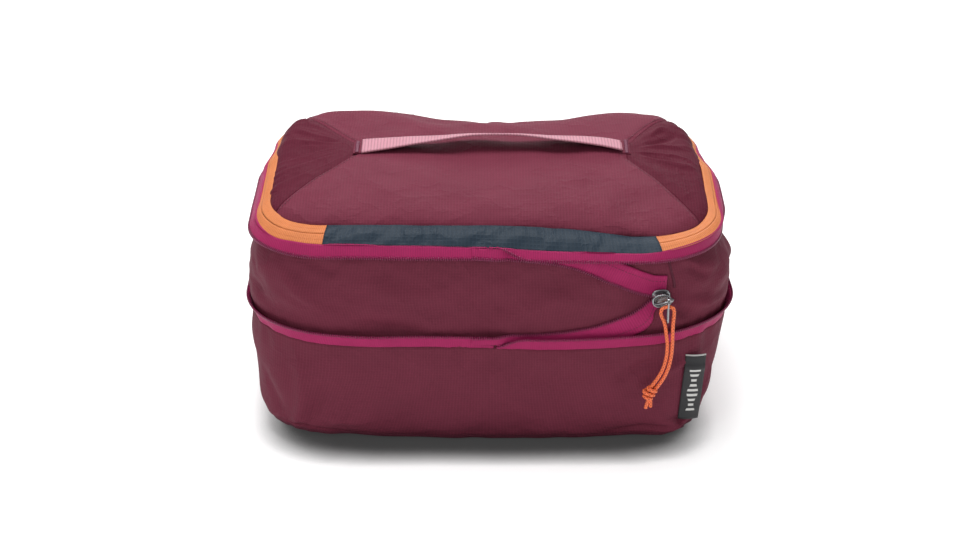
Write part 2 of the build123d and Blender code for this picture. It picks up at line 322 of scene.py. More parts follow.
BURGUNDY = ripstop("burgundy_ripstop", (0.142, 0.0235, 0.044), 0.70, 0.0021)
# A darker copy of the burgundy ripstop for the lid's side panels, with shade painted into its colour.
BURGUNDY_SHADED = ripstop("burgundy_ripstop_painted_shade", (0.094, 0.0145, 0.028), 0.6, 0.0021, specular=0.04)
LINING = ripstop("burgundy_lining", (0.100, 0.020, 0.036), 0.6, 0.0012)
SLATE = ripstop("slate_ripstop", (0.020, 0.032, 0.047), 0.5, 0.0026, sheen=0.03)
MAGENTA = tape_weave("magenta_zip_tape", (0.35, 0.018, 0.100), 0.6)
ORANGE = tape_weave("orange_zip_tape", (0.60, 0.195, 0.068), 0.5)
PINK = webbing_weave("pink_webbing", (0.44, 0.185, 0.235))
MAGENTA_TEETH = thread_material("magenta_teeth", (0.19, 0.012, 0.062), 0.30)
MAGENTA_THREAD = thread_material("magenta_thread", (0.12, 0.008, 0.04))
BURGUNDY_THREAD = thread_material("burgundy_thread", (0.105, 0.020, 0.036))
ORANGE_THREAD = thread_material("orange_thread", (0.55, 0.17, 0.05))
ORANGE_TEETH = thread_material("orange_teeth", (0.75, 0.25, 0.08), 0.35)
METAL = plated_metal("gunmetal_plating", (0.30, 0.31, 0.32))
CORD_YARN = cord_material("orange_cord_yarn", (0.84, 0.165, 0.055))
label_low, label_high = extent("side_label")
LABEL_WIDTH = 15.0
LABEL_HEIGHT = float(label_high[2] - label_low[2] + 3.0)
HEM_HEIGHT = LABEL_HEIGHT - 1.0
LABEL = label_material("woven_label", (0.012, 0.012, 0.014), (0.62, 0.62, 0.60), HEM_HEIGHT * MM)

bpy.ops.mesh.primitive_plane_add(size=8)
floor = bpy.context.object
floor.name = "studio_floor"
floor.data.materials.append(studio_floor())


# ---------------------------------------------------------------- small sums on arrays
def smooth_step(value, low, high):
    t = np.clip((value - low) / (high - low), 0, 1)
    return t * t * (3 - 2 * t)


def bell(value, middle, half):
    return np.exp(-((value - middle) / half) ** 2)


def unit(vectors):
    return vectors / np.maximum(np.linalg.norm(vectors, axis=-1, keepdims=True), 1e-9)


def stacked(flat, third):
    """Plan points or directions with a third coordinate."""
    return np.concatenate([flat, np.broadcast_to(third, flat.shape[:-1])[..., None]], -1)


def travelled(path):
    """The length from a path's start to each of its points."""
    return np.concatenate([[0], np.cumsum(np.linalg.norm(np.diff(path, axis=0), axis=1))])


def read_at(at, stations, data):
    """Every column of data at other stations, in straight lines between its own."""
    return np.stack([np.interp(at, stations, column) for column in np.transpose(data)], -1)


def curve_through(stations, values, at):
    """A smooth curve through values at stations, without overshoot."""
    stations, values = np.asarray(stations, float), np.asarray(values, float)
    steps = np.diff(values) / np.diff(stations)
    slopes = np.zeros_like(values)
    slopes[0], slopes[-1] = steps[0], steps[-1]
    same = steps[1:] * steps[:-1] > 0
    harmonic = 2 * steps[1:] * steps[:-1] / np.where(same, steps[1:] + steps[:-1], 1)
    slopes[1:-1] = np.where(same, harmonic, 0)
    index = np.clip(np.searchsorted(stations, at) - 1, 0, len(stations) - 2)
    gap = stations[index + 1] - stations[index]
    t = (at - stations[index]) / gap
    return (values[index] * (1 + 2 * t) * (1 - t) ** 2 + slopes[index] * gap * t * (1 - t) ** 2
            + values[index + 1] * t * t * (3 - 2 * t) + slopes[index + 1] * gap * t * t * (t - 1))


# ---------------------------------------------------------------- rings round the cube
# A ring's place runs from 0 to 12, anticlockwise from above: 0 is the front's middle, 3 the right
# side's, 6 the back's and 9 the left side's. Each quarter is half a straight, a corner, half a straight.
STRAIGHT_X, CORNER, STRAIGHT_Y = 113.0, 88.0, 60.0
HALF_TURN = [STRAIGHT_X, CORNER, STRAIGHT_Y, STRAIGHT_Y, CORNER, STRAIGHT_X]
STATIONS = np.concatenate([[0], np.cumsum(HALF_TURN * 2)])
AROUND = STATIONS[-1]


def along(place):
    """Millimetres round a typical ring at a place. A place past 12 has begun a second turn."""
    turns = np.floor(np.asarray(place, float) / 12)
    return np.interp(place - 12 * turns, np.arange(13), STATIONS) + turns * AROUND


def at_length(length):
    """The place at a number of millimetres round the ring."""
    turns = np.floor(np.asarray(length, float) / AROUND)
    return np.interp(length - turns * AROUND, STATIONS, np.arange(13)) + 12 * turns


def places(step, start=0.0, end=12.0):
    """Evenly spaced places from start to end. The full ring leaves out its last one."""
    low, high = along(start), along(end)
    count = max(2, int(round((high - low) / step)))
    full = end - start >= 12
    return at_length(low + (high - low) * np.arange(count if full else count + 1) / count)


def ring(place, width, depth, radius):
    """Points and outward normals on a rounded rectangle of half width and half depth."""
    place = np.mod(place, 12.0)
    quarter = np.floor(place / 3).astype(int) % 4
    local = np.select([quarter == n for n in range(4)], [place, 6 - place, place - 6, 12 - place])
    side_x = np.where(quarter < 2, 1.0, -1.0)
    side_y = np.where((quarter == 0) | (quarter == 3), -1.0, 1.0)
    turn = np.clip(local - 1, 0, 1) * math.pi / 2
    x = (width - radius) * np.clip(local, 0, 1) + radius * np.sin(turn)
    y = (depth - radius) * np.clip(3 - local, 0, 1) + radius * np.cos(turn)
    points = np.stack([side_x * x, side_y * y], -1)
    normals = np.stack([side_x * np.sin(turn), side_y * np.cos(turn)], -1)
    return points, np.broadcast_to(normals, points.shape)


def profile(levels, step):
    """Evenly spaced (height, width, depth, radius) along smooth levels, and the length at each."""
    table = np.array(levels, float)
    travel = travelled(table[:, [0, 2]])
    at = np.linspace(0, travel[-1], max(2, int(round(travel[-1] / step)) + 1))
    return [curve_through(travel, column, at) for column in table.T], at


# ---------------------------------------------------------------- cloth relief
def waves(u, v, seed, length_u, length_v, count=16):
    """Smooth random relief with about unit height. It repeats round the ring."""
    random = np.random.default_rng(seed)
    total = np.zeros(np.broadcast(u, v).shape)
    for _ in range(count):
        turns = round(AROUND / (length_u * random.uniform(0.6, 1.7))) * random.choice([-1, 1])
        angle = TURN * (u * turns / AROUND + v / (length_v * random.uniform(0.6, 1.7)))
        total += np.cos(angle + random.uniform(0, TURN))
    return total * math.sqrt(2 / count) / 1.4


def from_segment(x, y, a, b):
    """How far along a segment its nearest point to x, y is, from 0 to 1, and the distance to it."""
    dx, dy = b[0] - a[0], b[1] - a[1]
    t = np.clip(((x - a[0]) * dx + (y - a[1]) * dy) / (dx * dx + dy * dy), 0, 1)
    return t, np.hypot(x - a[0] - t * dx, y - a[1] - t * dy)


def fold(u, v, route, width, height):
    """A soft ridge, or valley where height is negative, that fades at both ends of its route."""
    best = np.full(np.broadcast(u, v).shape, 1e9)
    share = np.zeros_like(best)
    travel = travelled(np.array(route, float))
    for a, b, start, end in zip(route, route[1:], travel, travel[1:]):
        t, away = from_segment(u, v, a, b)
        share = np.where(away < best, (start + t * (end - start)) / travel[-1], share)
        best = np.minimum(best, away)
    return height * bell(best, 0, width) * np.sin(math.pi * np.clip(share, 0.02, 0.98)) ** 0.7


def ring_folds(u, v, table, strength):
    """The sum of a table's folds, whose routes are places round the ring and millimetres up."""
    return sum(fold(u, v, [(float(along(place)), up) for place, up in route], width, height * strength)
               for route, width, height in table)


def puckers(u, away, seed, length, height, reach):
    """Small gathers square to a seam, which fade with distance from it."""
    run = waves(u, 0 * u, seed, length, 50, 10)
    shape = np.sign(run) * np.abs(run) ** 0.8
    strength = np.clip(0.6 + 0.8 * waves(u, 0 * u, seed + 1, 120, 50, 6), 0, 1.6)
    return height * shape * strength * np.exp(-(np.maximum(away, 0) / reach) ** 1.5)


# ---------------------------------------------------------------- meshes
def new_object(name, points, faces, material, uv=None):
    """A mesh object from points in millimetres, with a cloth coordinate for each face corner."""
    mesh = bpy.data.meshes.new(name)
    mesh.from_pydata((np.asarray(points, float) * MM).tolist(), [], faces)
    if uv is not None:
        layer = mesh.uv_layers.new(name="cloth")
        layer.data.foreach_set("uv", (np.asarray(uv, float) * MM).ravel())
    mesh.polygons.foreach_set("use_smooth", [True] * len(mesh.polygons))
    mesh.materials.append(material)
    mesh.validate()
    mesh.update()
    item = bpy.data.objects.new(name, mesh)
    SCENE.collection.objects.link(item)
    return item


def grid_normals(grid, closed):
    """Unit normals of a grid of points, outward where its rows run round and its columns run up."""
    around = np.roll(grid, -1, 0) - np.roll(grid, 1, 0) if closed else np.gradient(grid, axis=0)
    return unit(np.cross(around, np.gradient(grid, axis=1)))


def cloth(name, grid, u, v, material, thickness=0.6, closed=False):
    """A sheet with thickness from a grid of outer points. u and v are its cloth coordinates."""
    rows, columns = grid.shape[:2]
    under = grid - grid_normals(grid, closed) * thickness
    back = rows * columns
    index = np.arange(back).reshape(rows, columns)
    if closed:
        index = np.concatenate([index, index[:1]])
    outer = np.stack([index[:-1, :-1], index[1:, :-1], index[1:, 1:], index[:-1, 1:]], -1).reshape(-1, 4)
    faces = [outer, outer[:, ::-1] + back]
    rims = [(index[:, 0], -1), (index[:, -1], 1)]
    if not closed:
        rims += [(index[0], 1), (index[-1], -1)]
    for line, order in rims:
        a, b = line[:-1], line[1:]
        faces.append(np.stack([a, b, b + back, a + back], -1)[:, ::order])
    faces = np.concatenate(faces)
    u = u[:, None] if np.ndim(u) == 1 else u
    corner_u, corner_v = (np.tile(np.broadcast_to(data, (rows, columns)).ravel(), 2)[faces]
                          for data in (u, v))
    if closed:
        wraps = corner_u.max(1) - corner_u.min(1) > AROUND / 2
        corner_u = corner_u + AROUND * (wraps[:, None] & (corner_u < AROUND / 2))
    points = np.concatenate([grid.reshape(-1, 3), under.reshape(-1, 3)])
    uv = np.stack([corner_u, corner_v], -1).reshape(-1, 2)
    return new_object(name, points, faces.tolist(), material, uv)


def tube_faces(rows, count):
    """Faces of a tube of rings, closed at each end by a fan to a point that follows the rings."""
    sides = [(n, (n + 1) % count) for n in range(count)]
    last = (rows - 1) * count
    faces = [(low + a, low + b, low + count + b, low + count + a)
             for low in range(0, last, count) for a, b in sides]
    return faces + [(b, a, rows * count) for a, b in sides] + [
        (last + a, last + b, rows * count + 1) for a, b in sides]


def loops_mesh(name, loops, material, uv=None):
    """A closed solid from rings of points that have the same count."""
    loops = np.asarray(loops, float)
    points = np.concatenate([loops.reshape(-1, 3), loops[[0, -1]].mean(1)])
    return new_object(name, points, tube_faces(*loops.shape[:2]), material, uv)


def frames_along(path, up):
    """Tangents, and the two directions across a path, the second nearest to up."""
    tangent = unit(np.gradient(path, axis=0))
    side = unit(np.cross(tangent, up))
    return tangent, side, np.cross(side, tangent)


def evenly(path, pitch, *others):
    """Points each a pitch apart along a path, with the other arrays read at the same stations."""
    lengths = travelled(path)
    at = np.arange(pitch / 2, lengths[-1], pitch)
    return [read_at(at, lengths, data) for data in (path, *others)]


# A stitch or tooth is a small rounded bead: rings of a hexagon between two end points.
BEAD_RINGS = [(-0.82, 0.62), (-0.4, 1.0), (0.4, 1.0), (0.82, 0.62)]
BEAD_SIDES = 6
BEAD = [(station, share * math.cos(TURN * n / BEAD_SIDES), share * math.sin(TURN * n / BEAD_SIDES))
        for station, share in BEAD_RINGS for n in range(BEAD_SIDES)] + [(-1, 0, 0), (1, 0, 0)]


def beads(name, centres, axis, second, third, size, material):
    """Many small rounded beads, long along axis, as one mesh."""
    basis = np.stack([axis, second, third], 1)
    points = centres[:, None] + np.einsum("pk,nkc->npc", np.array(BEAD) * size, basis)
    bead_faces = tube_faces(len(BEAD_RINGS), BEAD_SIDES)
    faces = [tuple(base + corner for corner in face)
             for base in range(0, len(centres) * len(BEAD), len(BEAD)) for face in bead_faces]
    return new_object(name, points.reshape(-1, 3), faces, material)


def stitches(name, path, outward, pitch, length, thick, material, raise_by=0.1):
    """A row of stitches along a path on a surface with the given outward normals."""
    centres, normals = evenly(path, pitch, outward)
    tangent, side, up = frames_along(centres, normals)
    return beads(name, centres + up * raise_by, tangent, side, up, (length / 2, thick, thick * 0.8),
                 material)


def teeth(name, path, across, outward, pitch, material, size=(0.75, 0.42, 0.5), reach=0.0):
    """A row of zip teeth along a tape's edge, long across it."""
    centres, reach_to, normals = evenly(path, pitch, across, outward)
    reach_to = unit(reach_to)
    tangent = unit(np.cross(normals, reach_to))
    return beads(name, centres + reach_to * reach, reach_to, tangent, np.cross(reach_to, tangent), size,
                 material)


def piece(item, body, slot, *nodes):
    """Put a finished piece on its body and hide the CAD nodes it stands for. slot is not used."""
    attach(item, body)
    if nodes:
        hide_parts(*nodes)


def bending_piece(item, bend, slot, *nodes):
    """Bake a piece between two bodies into its mesh and hide the CAD nodes it stands for. bend, the bodies
    and the two points of a blend, is not used, and nor is slot.
    """
    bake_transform(item)
    if nodes:
        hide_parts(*nodes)


# ---------------------------------------------------------------- how the rim and lid sag
# How far the front edges stand above their plain height: x, height.
RIM_SAG = [(-165, 0), (-146, -0.5), (-133, 0.6), (-113, 0.4), (0, -1.7), (44, -3.6), (104, -4.8),
           (118, -3.8), (132, -2.6), (147, -1.7), (165, -1.0)]
LID_SAG = [(-165, -2), (-142, -2), (-113, -0.8), (0, -1.2), (22, -1.6), (54, -3.9), (86, -7.6),
           (100, -9.2), (118, -9.0), (140, -9.0), (152, -7.5), (165, -6)]
# The sloping band from the rim's seam up to the lid's: height, half width, half depth, corner radius.
BAND_OUTER = (161.3, 164.6, 110.2, 52)
BAND_LEVELS = [BAND_OUTER, (166.6, 159.8, 103.2, 48.5), (170.4, 154.0, 94.5, 44)]
BAND_WIDTH = 17.5


def narrow(x, y):
    """The rim and lid draw in towards the back, and all along the right."""
    left = -0.008 + 0.026 * smooth_step(y, 10, 55) + 0.012 * smooth_step(y, 52, 92)
    right = -0.008 + 0.044 * smooth_step(y, 5, 50) + 0.012 * smooth_step(y, 48, 92)
    return x * (1 - np.where(x < 0, left, right * smooth_step(x, 0, 60)))


def narrow_lid(x, y):
    """The lid's cloth bulges out over the band along the back of its sides."""
    return narrow(x, y) + x * (0.020 * smooth_step(y, 0, 40) + 0.014 * smooth_step(y, 45, 80))


def settle(x, y, front_sag, lean, back_sag, back_half):
    """How far an edge sags: by its table along the front, and in the middle of the back."""
    front = curve_through(*zip(*front_sag), np.clip(x, -164, 164))
    back = back_sag * smooth_step(y, 42, 92) * bell(x, 0, back_half)
    return -lean * x + (front + lean * x) * smooth_step(-y, 10, 85) - back


def rim_settle(x, y):
    return settle(x, y, RIM_SAG, 0.008, 5.0, 105)


def lid_settle(x, y):
    return settle(x, y, LID_SAG, 0.012, 6.0, 95)


def comes_forward(x, y):
    """How far the rim stands out where it droops at the front."""
    return np.clip(-rim_settle(x, y) - 0.8, 0, 9) * smooth_step(-y, -20, 30)


def settle_band(grid, normals, shares):
    """Sag a strip of the band. Where its outer edge droops it also comes forward, over the rim."""
    x, y = grid[..., 0], grid[..., 1]
    share = np.clip(shares, 0, 1)
    drop = rim_settle(x, y) * (1 - share) + lid_settle(x, y) * share
    forward = comes_forward(x, y) * 0.95 * (1 - share)
    forward = forward + 0.3 * np.clip(-drop - 3, 0, 9) * share * smooth_step(-y, -20, 30)
    grid = grid + stacked(normals * forward[..., None], drop)
    grid[..., 0] += narrow(x, y) - x
    return grid


def rim_line(spots):
    """The seam where the band, the upper tape and the gusset meet, and its outward normals."""
    z, width, depth, radius = BAND_OUTER
    points, normals = ring(spots, width, depth, radius)
    return settle_band(stacked(points, z)[:, None], normals[:, None], np.zeros((1, 1)))[:, 0], normals


# ---------------------------------------------------------------- tub
# Levels are height, half width, half depth and corner radius.
TUB_LEVELS = [(0.4, 153, 96, 26), (1.6, 157.5, 102.5, 29), (8, 161.5, 106.5, 34), (40, 166.5, 112.5, 51),
              (66, 170, 115.5, 62), (85, 171, 116.2, 64)]
CELL = 2.4
CLOTH_TOP = 92
# Folds in the tub: places round the ring and millimetres up the cloth, half width, height.
TUB_FOLDS = [
    ([(10.75, 14), (10.80, 45), (10.72, 78)], 4.5, 1.5), ([(10.92, 20), (10.95, 66)], 4.0, -1.3),
    ([(11.08, 16), (11.12, 44)], 4.5, 1.0), ([(11.0, 34), (11.25, 24)], 3.2, 1.2),
    ([(10.4, 12), (10.9, 16), (11.25, 8)], 2.6, -1.8), ([(10.3, 60), (10.6, 30)], 6.0, -1.2),
    ([(0.62, 10), (0.9, 18), (1.15, 15)], 3.0, -1.5), ([(0.95, 9), (1.25, 11), (1.5, 20)], 2.6, 1.5),
    ([(1.2, 30), (1.42, 14)], 3.5, -1.4), ([(1.6, 18), (1.7, 60)], 5.0, 1.2),
    ([(11.55, 10), (11.95, 14)], 4.0, -0.8),
    ([(0.75, 60), (1.0, 76), (1.3, 82)], 4.0, -1.4), ([(1.05, 66), (1.4, 74)], 3.0, 1.0),
    ([(2.0, 20), (2.2, 60)], 6.0, 1.3), ([(2.8, 10), (3.1, 50)], 8.0, -1.2),
    ([(8.6, 14), (8.9, 60)], 8.0, 1.2), ([(9.5, 12), (9.6, 50)], 6.0, -1.2),
    ([(4.4, 14), (4.5, 60)], 5.0, 1.2), ([(7.5, 14), (7.45, 62)], 5.0, 1.2),
    ([(5.2, 30), (6.6, 36)], 12.0, -1.2),
]
BASE_EDGE = 2.6
CORNER_LIFTS = [5.5, 2.5, 2.5, 8.5]  # front right, back right, back left, front left


def lift(x, y, z):
    """How far the cloth round the lower zip rises from the front's middle to the corners and sides."""
    rise = 3.6 * smooth_step(np.abs(x), 70, 158) - 2.2 * bell(x, 48, 48) * smooth_step(-y, 40, 90)
    return rise * smooth_step(z, 20, 84) * (1 - smooth_step(z, 94, 128))


def tub_relief(u, v, place):
    """How far the tub's cloth stands out from its plain shape."""
    left, right = (smooth_step(np.abs(place - side), 3.2, 1.0) for side in (9, 3))
    down = CLOTH_TOP - v
    out = np.sin(math.pi * np.clip(v / 90, 0, 1)) * (1.5 + 1.6 * left - 1.8 * right)
    out += 0.9 * waves(u, v, 11, 110, 60) * np.clip(v / 15, 0, 1) * np.clip(down / 15, 0, 1)
    out += 0.35 * waves(u, v, 12, 34, 40) * np.clip(down / 25, 0, 1)
    spread = u + 0 * v
    out += puckers(spread, down, 101, 14, 0.45, 13) + puckers(spread, v, 103, 18, 0.5, 12)
    return out + ring_folds(u, v, TUB_FOLDS, 2.3)


def base_lift(place, z):
    """The tub's lowest edge stands off the ground, most at the corners."""
    place = np.mod(place, 12)
    height = np.array(CORNER_LIFTS)[np.floor(place / 3).astype(int) % 4]
    edge = BASE_EDGE + height * bell(np.mod(place, 3.0), 1.5, 0.75)
    return edge * (1 - smooth_step(z, 0, 26))


def floor_panel(name, edge, z, material, thickness):
    """A panel inside a ring of points, as rings that shrink to a small middle and settle to z."""
    shares = np.linspace(1, 0.02, 50)
    flat = np.stack([edge[:, :2] * share for share in shares], 1)
    grid = stacked(flat, z + (edge[:, 2:] + 0.2 - z) * smooth_step(shares, 0.72, 1.0)[None])
    return cloth(name, grid, grid[..., 0], grid[..., 1], material, thickness, closed=True)


def binding(name, column, inset, height):
    """Binding tape sewn inside the tub's wall at one of its grid columns."""
    edge, normal = tub_grid[:, column], grid_normals(tub_grid, True)[:, column]
    rise = np.linspace(-height / 2, height / 2, 5)
    strip = edge[:, None] - normal[:, None] * inset + np.array([0, 0, 1.0]) * rise[None, :, None]
    return cloth(name, strip, along(where), rise + height, LINING, closed=True)


where = places(CELL)
(tub_z, *tub_sizes), tub_v = profile(TUB_LEVELS, CELL)
flat, normals = ring(where[:, None], *tub_sizes)
relief = tub_relief(along(where)[:, None], tub_v[None], where[:, None])
tub_grid = stacked(flat + normals * relief[..., None], tub_z)
tub_grid[..., 0] *= 1 - 0.045 * smooth_step(tub_grid[..., 0], 60, 150) * (
    1 - smooth_step(tub_grid[..., 2], 10, 72))
tub_grid[..., 2] += lift(*np.moveaxis(tub_grid, -1, 0)) + base_lift(where[:, None], tub_grid[..., 2])
tub = cloth("tub_wall", tub_grid, along(where), tub_v, BURGUNDY, closed=True)
piece(tub, "tub", "burgundy_nylon", "lower_front_panel", "lower_back_panel", "lower_left_panel",
      "lower_right_panel")
base = floor_panel("base_cloth", tub_grid[:, 0] * np.array([0.998, 0.998, 1]), 0.9, BURGUNDY, 0.6)
piece(base, "tub", "burgundy_nylon", "base_panel")
piece(binding("base_seam_tape", 3, 0.8, 6), "tub", "burgundy_nylon", "base_seam_binding")
piece(binding("upper_seam_tape", -3, 0.9, 8), "tub", "burgundy_nylon", "lower_seam_binding")

# ---------------------------------------------------------------- gusset
GUSSET_FOOT, MEET_Z, GUSSET_TOP = 84, 123.0, 160.5
GUSSET_LEVELS = [(GUSSET_FOOT, 170.2, 115.4, 64), (92, 171.3, 113.6, 63), (104, 172.3, 114.6, 61),
                 (124, 171.5, 114.2, 55), (144, 167.0, 111.6, 54), (155, 164.4, 109.4, 54),
                 (GUSSET_TOP, 166, 109, 54)]
SLIDER_PLACE = 1.06
GUSSET_SEAM = 1.17
# Folds in the gusset: places round the ring and heights, half width, height of the fold.
GUSSET_FOLDS = [
    ([(1.25, 152), (1.45, 140), (1.7, 136)], 3.5, 1.2),
    ([(1.3, 146), (1.5, 130)], 3.0, -1.2), ([(1.2, 118), (1.5, 108), (1.8, 104)], 4.0, 1.4),
    ([(1.15, 112), (1.4, 98)], 3.5, -1.6), ([(10.5, 146), (10.8, 128), (11.0, 112)], 4.5, 1.3),
    ([(10.7, 152), (11.1, 140)], 4.0, -1.2), ([(11.1, 102), (11.6, 97)], 5.0, -1.3),
    ([(10.2, 120), (10.6, 100)], 5.0, -1.2), ([(11.3, 128), (11.9, 122)], 7.0, 1.0),
    ([(0.3, 122), (0.7, 118)], 7.0, 0.9), ([(2.2, 150), (2.4, 110)], 6.0, 1.2),
    ([(3.2, 146), (3.1, 106)], 7.0, -1.2), ([(8.8, 146), (9.0, 104)], 7.0, 1.2),
    ([(9.4, 140), (9.6, 110)], 6.0, -1.2), ([(5.0, 140), (5.6, 116)], 9.0, 1.2),
    ([(6.5, 112), (7.1, 140)], 9.0, -1.2), ([(4.5, 150), (4.4, 110)], 5.0, 1.3),
]
# Bodies and points for squashing the cloth below and above the slider's height; they are passed on but not
# used.
LOWER_SQUASH = ("tub", "gusset_mid", (0, 0, 0.085), (0, 0, MEET_Z * MM))
UPPER_SQUASH = ("gusset_mid", "rim", (0, 0, MEET_Z * MM), (0, 0, 0.160))


def gusset_relief(place, z):
    """How far the gusset's cloth stands out from its plain shape. The slider pulls it in."""
    u = along(np.mod(place, 12))
    middle = np.sin(math.pi * np.clip((z - 86) / 72, 0, 1))
    out = middle * (1.2 * waves(u, z, 21, 110, 60) + 0.6 * waves(u, z, 22, 55, 24)
                    + 0.25 * waves(u, z, 23, 22, 16))
    out -= 4.0 * bell(u, along(SLIDER_PLACE), 26) * bell(z, MEET_Z, 12)
    spread = u + 0 * z
    out = out + puckers(spread, 158 - z, 105, 13, 0.4, 11) + puckers(spread, z - 88, 107, 13, 0.4, 10)
    return out + ring_folds(u, z, GUSSET_FOLDS, 2.1)


def gusset_grid(low, high):
    """Points of the gusset between two heights, with cloth coordinates. Its top follows the rim."""
    (z, *sizes), up = profile(GUSSET_LEVELS, 1.0)
    rows = np.linspace(low, high, int(round((high - low) / CELL)) + 1)
    width, depth, radius, v = read_at(rows, z, np.stack([*sizes, up], -1)).T
    points, normals = ring(where[:, None], width, depth, radius)
    grid = stacked(points + normals * gusset_relief(where[:, None], rows[None])[..., None], rows)
    grid[..., 2] += lift(*np.moveaxis(grid, -1, 0))
    grid[..., 0] *= 1 - 0.022 * smooth_step(grid[..., 0], 90, 160) * smooth_step(grid[..., 2], 125, 150)
    seam, outward = rim_line(where)
    target = seam - stacked(outward * 1.2, 0.4)
    top = stacked(ring(where, *GUSSET_LEVELS[-1][1:])[0], GUSSET_TOP)
    pull = smooth_step(rows, 132, GUSSET_TOP) ** 1.3
    return grid + (target - top)[:, None] * pull[None, :, None], v


def match_normals(low_part, high_part):
    """Give the gusset's two halves the same shading along the line where they meet."""
    normals = grid_normals(whole_grid, True)
    split = low_grid.shape[1]
    for item, part in ((low_part, normals[:, :split]), (high_part, normals[:, split - 1:])):
        outer = part.reshape(-1, 3)
        item.data.normals_split_custom_set_from_vertices(np.concatenate([outer, -outer]).tolist())


low_grid, low_v = gusset_grid(GUSSET_FOOT, MEET_Z)
high_grid, high_v = gusset_grid(MEET_Z, GUSSET_TOP)
whole_grid = np.concatenate([low_grid, high_grid[:, 1:]], 1)
gusset_low = cloth("gusset_lower_half", low_grid, along(where), low_v, BURGUNDY, closed=True)
gusset_high = cloth("gusset_upper_half", high_grid, along(where), high_v, BURGUNDY, closed=True)
match_normals(gusset_low, gusset_high)
bending_piece(gusset_low, LOWER_SQUASH, "burgundy_nylon", "gusset_front_panel", "gusset_back_panel")
bending_piece(gusset_high, UPPER_SQUASH, "burgundy_nylon", "gusset_left_panel", "gusset_right_panel")

# The front of the gusset, read at every millimetre of x.
FRONT_X = np.arange(-30, 141)
front_lines = [line[line[:, 1] < -40] for line in np.moveaxis(whole_grid, 1, 0)]
front_lines = [line[np.argsort(line[:, 0])] for line in front_lines]
FRONT_Y, FRONT_Z = (np.stack([np.interp(FRONT_X, line[:, 0], line[:, axis]) for line in front_lines], -1)
                    for axis in (1, 2))


def front_y(x, z):
    """The front face of the gusset at x and z."""
    x, z = np.broadcast_arrays(x, z)
    index = np.clip(np.round(x).astype(int) - FRONT_X[0], 0, len(FRONT_X) - 1)
    flat = [np.interp(height, FRONT_Z[i], FRONT_Y[i]) for i, height in zip(index.ravel(), z.ravel())]
    return np.array(flat).reshape(x.shape)


# A covering strip stands up over the gusset's seam beside the slider.
seam_at = int(np.argmin(np.abs(where - GUSSET_SEAM)))
seam_rows = slice(2, high_grid.shape[1] - 2)
seam_foot = high_grid[seam_at, seam_rows]
seam_side = unit(high_grid[seam_at + 1, seam_rows] - seam_foot)
seam_out = grid_normals(high_grid, True)[seam_at, seam_rows]
seam_across = np.array([-1.1, -0.5, 0.5, 1.1])
seam_stand = np.array([-0.2, 0.55, 0.55, -0.2])
seam_grid = (seam_foot + seam_side * seam_across[:, None, None] + seam_out * seam_stand[:, None, None])
seam_cloth = cloth("gusset_side_seam", seam_grid, seam_across, high_v[seam_rows], LINING, 0.5)
bending_piece(seam_cloth, UPPER_SQUASH, "burgundy_nylon")

# ---------------------------------------------------------------- compression tapes
TAPE_START, TAPE_END = float(at_length(5.5)), 12.03
TAPE_STEP = 1.8
RIM_LEAN = 0.0075
TOOTH_PITCH = 1.6
TOOTH = (1.4, 0.48, 0.9)
LOWER_TAPE = [(extent("compression_lower_tape")[0][2] + 2.4, 172.4, 117.2, 64),
              (extent("compression_lower_coil")[1][2] - 0.6, 175, 118.0, 66)]
UPPER_TAPE = [(extent("compression_upper_coil")[0][2] + 0.3, 170.4, 113.4, 57),
              (extent("compression_upper_tape")[1][2], 165.6, 110.0, 53)]
HIDDEN_TEETH = 2


def tape_strip(side, levels, seam, seam_drop, seed):
    """One zip tape round the cube, rooted on a seam. Its free edge comes out over its first stretch."""
    lower = side == "lower"
    root, edge, inner = (0, -1, -3) if lower else (-1, 0, 2)
    share = np.linspace(0, 1, 7)
    z, width, depth, radius = read_at(share, [0, 1], levels).T
    points, normals = ring(tape_spots[:, None], width, depth, radius)
    grid, out = stacked(points, z), stacked(normals, 0.0)
    u = along(tape_spots)
    free = share if lower else 1 - share
    grid = grid + out * (0.5 * waves(u, 0 * u, seed, 90, 50)[:, None] * free)[..., None]
    emerge = smooth_step(u - along(TAPE_START), -4, 22)
    grid = grid[:, [root]] + (grid - grid[:, [root]]) * emerge[:, None, None]
    if lower:
        grid[..., 2] += lift(grid[..., 0], grid[..., 1], 85.0)
    else:
        grid[..., 2] -= RIM_LEAN * grid[..., 0]
        grid = grid + out * 1.05 * comes_forward(grid[..., 0], grid[..., 1])[..., None]
        front_right = smooth_step(grid[..., 0], 60, 150) * (
            0.004 + 0.026 * smooth_step(-grid[..., 1], 25, 65))
        grid[..., 0] *= 1 - 0.045 * smooth_step(grid[..., 1], 15, 65) - front_right
    sewn = seam - out[:, 0] * 0.2 - np.array([0, 0, seam_drop])
    grid = grid + (sewn - grid[:, root])[:, None] * (1 - free)[None, :, None]
    strip = cloth(f"compression_tape_{side}", grid, u, np.abs(z - z[0]), MAGENTA, 0.8)
    return strip, (grid[:, edge], grid[:, edge] - grid[:, inner], out[:, 0])


tape_spots = places(TAPE_STEP, TAPE_START, TAPE_END)
tub_top = np.concatenate([tub_grid[:, -1], tub_grid[:1, -1]])
tub_seam = read_at(np.mod(along(tape_spots), AROUND), np.append(along(where), AROUND), tub_top)
lower_tape, lower_row = tape_strip("lower", LOWER_TAPE, tub_seam, 1.0, 32)
upper_tape, upper_row = tape_strip("upper", UPPER_TAPE, rim_line(tape_spots)[0], -0.3, 31)
piece(lower_tape, "tub", "magenta_tape", "compression_lower_tape")
piece(upper_tape, "rim", "magenta_tape", "compression_upper_tape")
for side, row, skip, body in (("lower", lower_row, 0, "tub"), ("upper", upper_row, HIDDEN_TEETH, "rim")):
    row = teeth(f"compression_teeth_{side}", *(data[skip:] for data in row), TOOTH_PITCH,
                MAGENTA_TEETH, TOOTH)
    piece(row, body, "magenta_teeth", f"compression_{side}_coil")

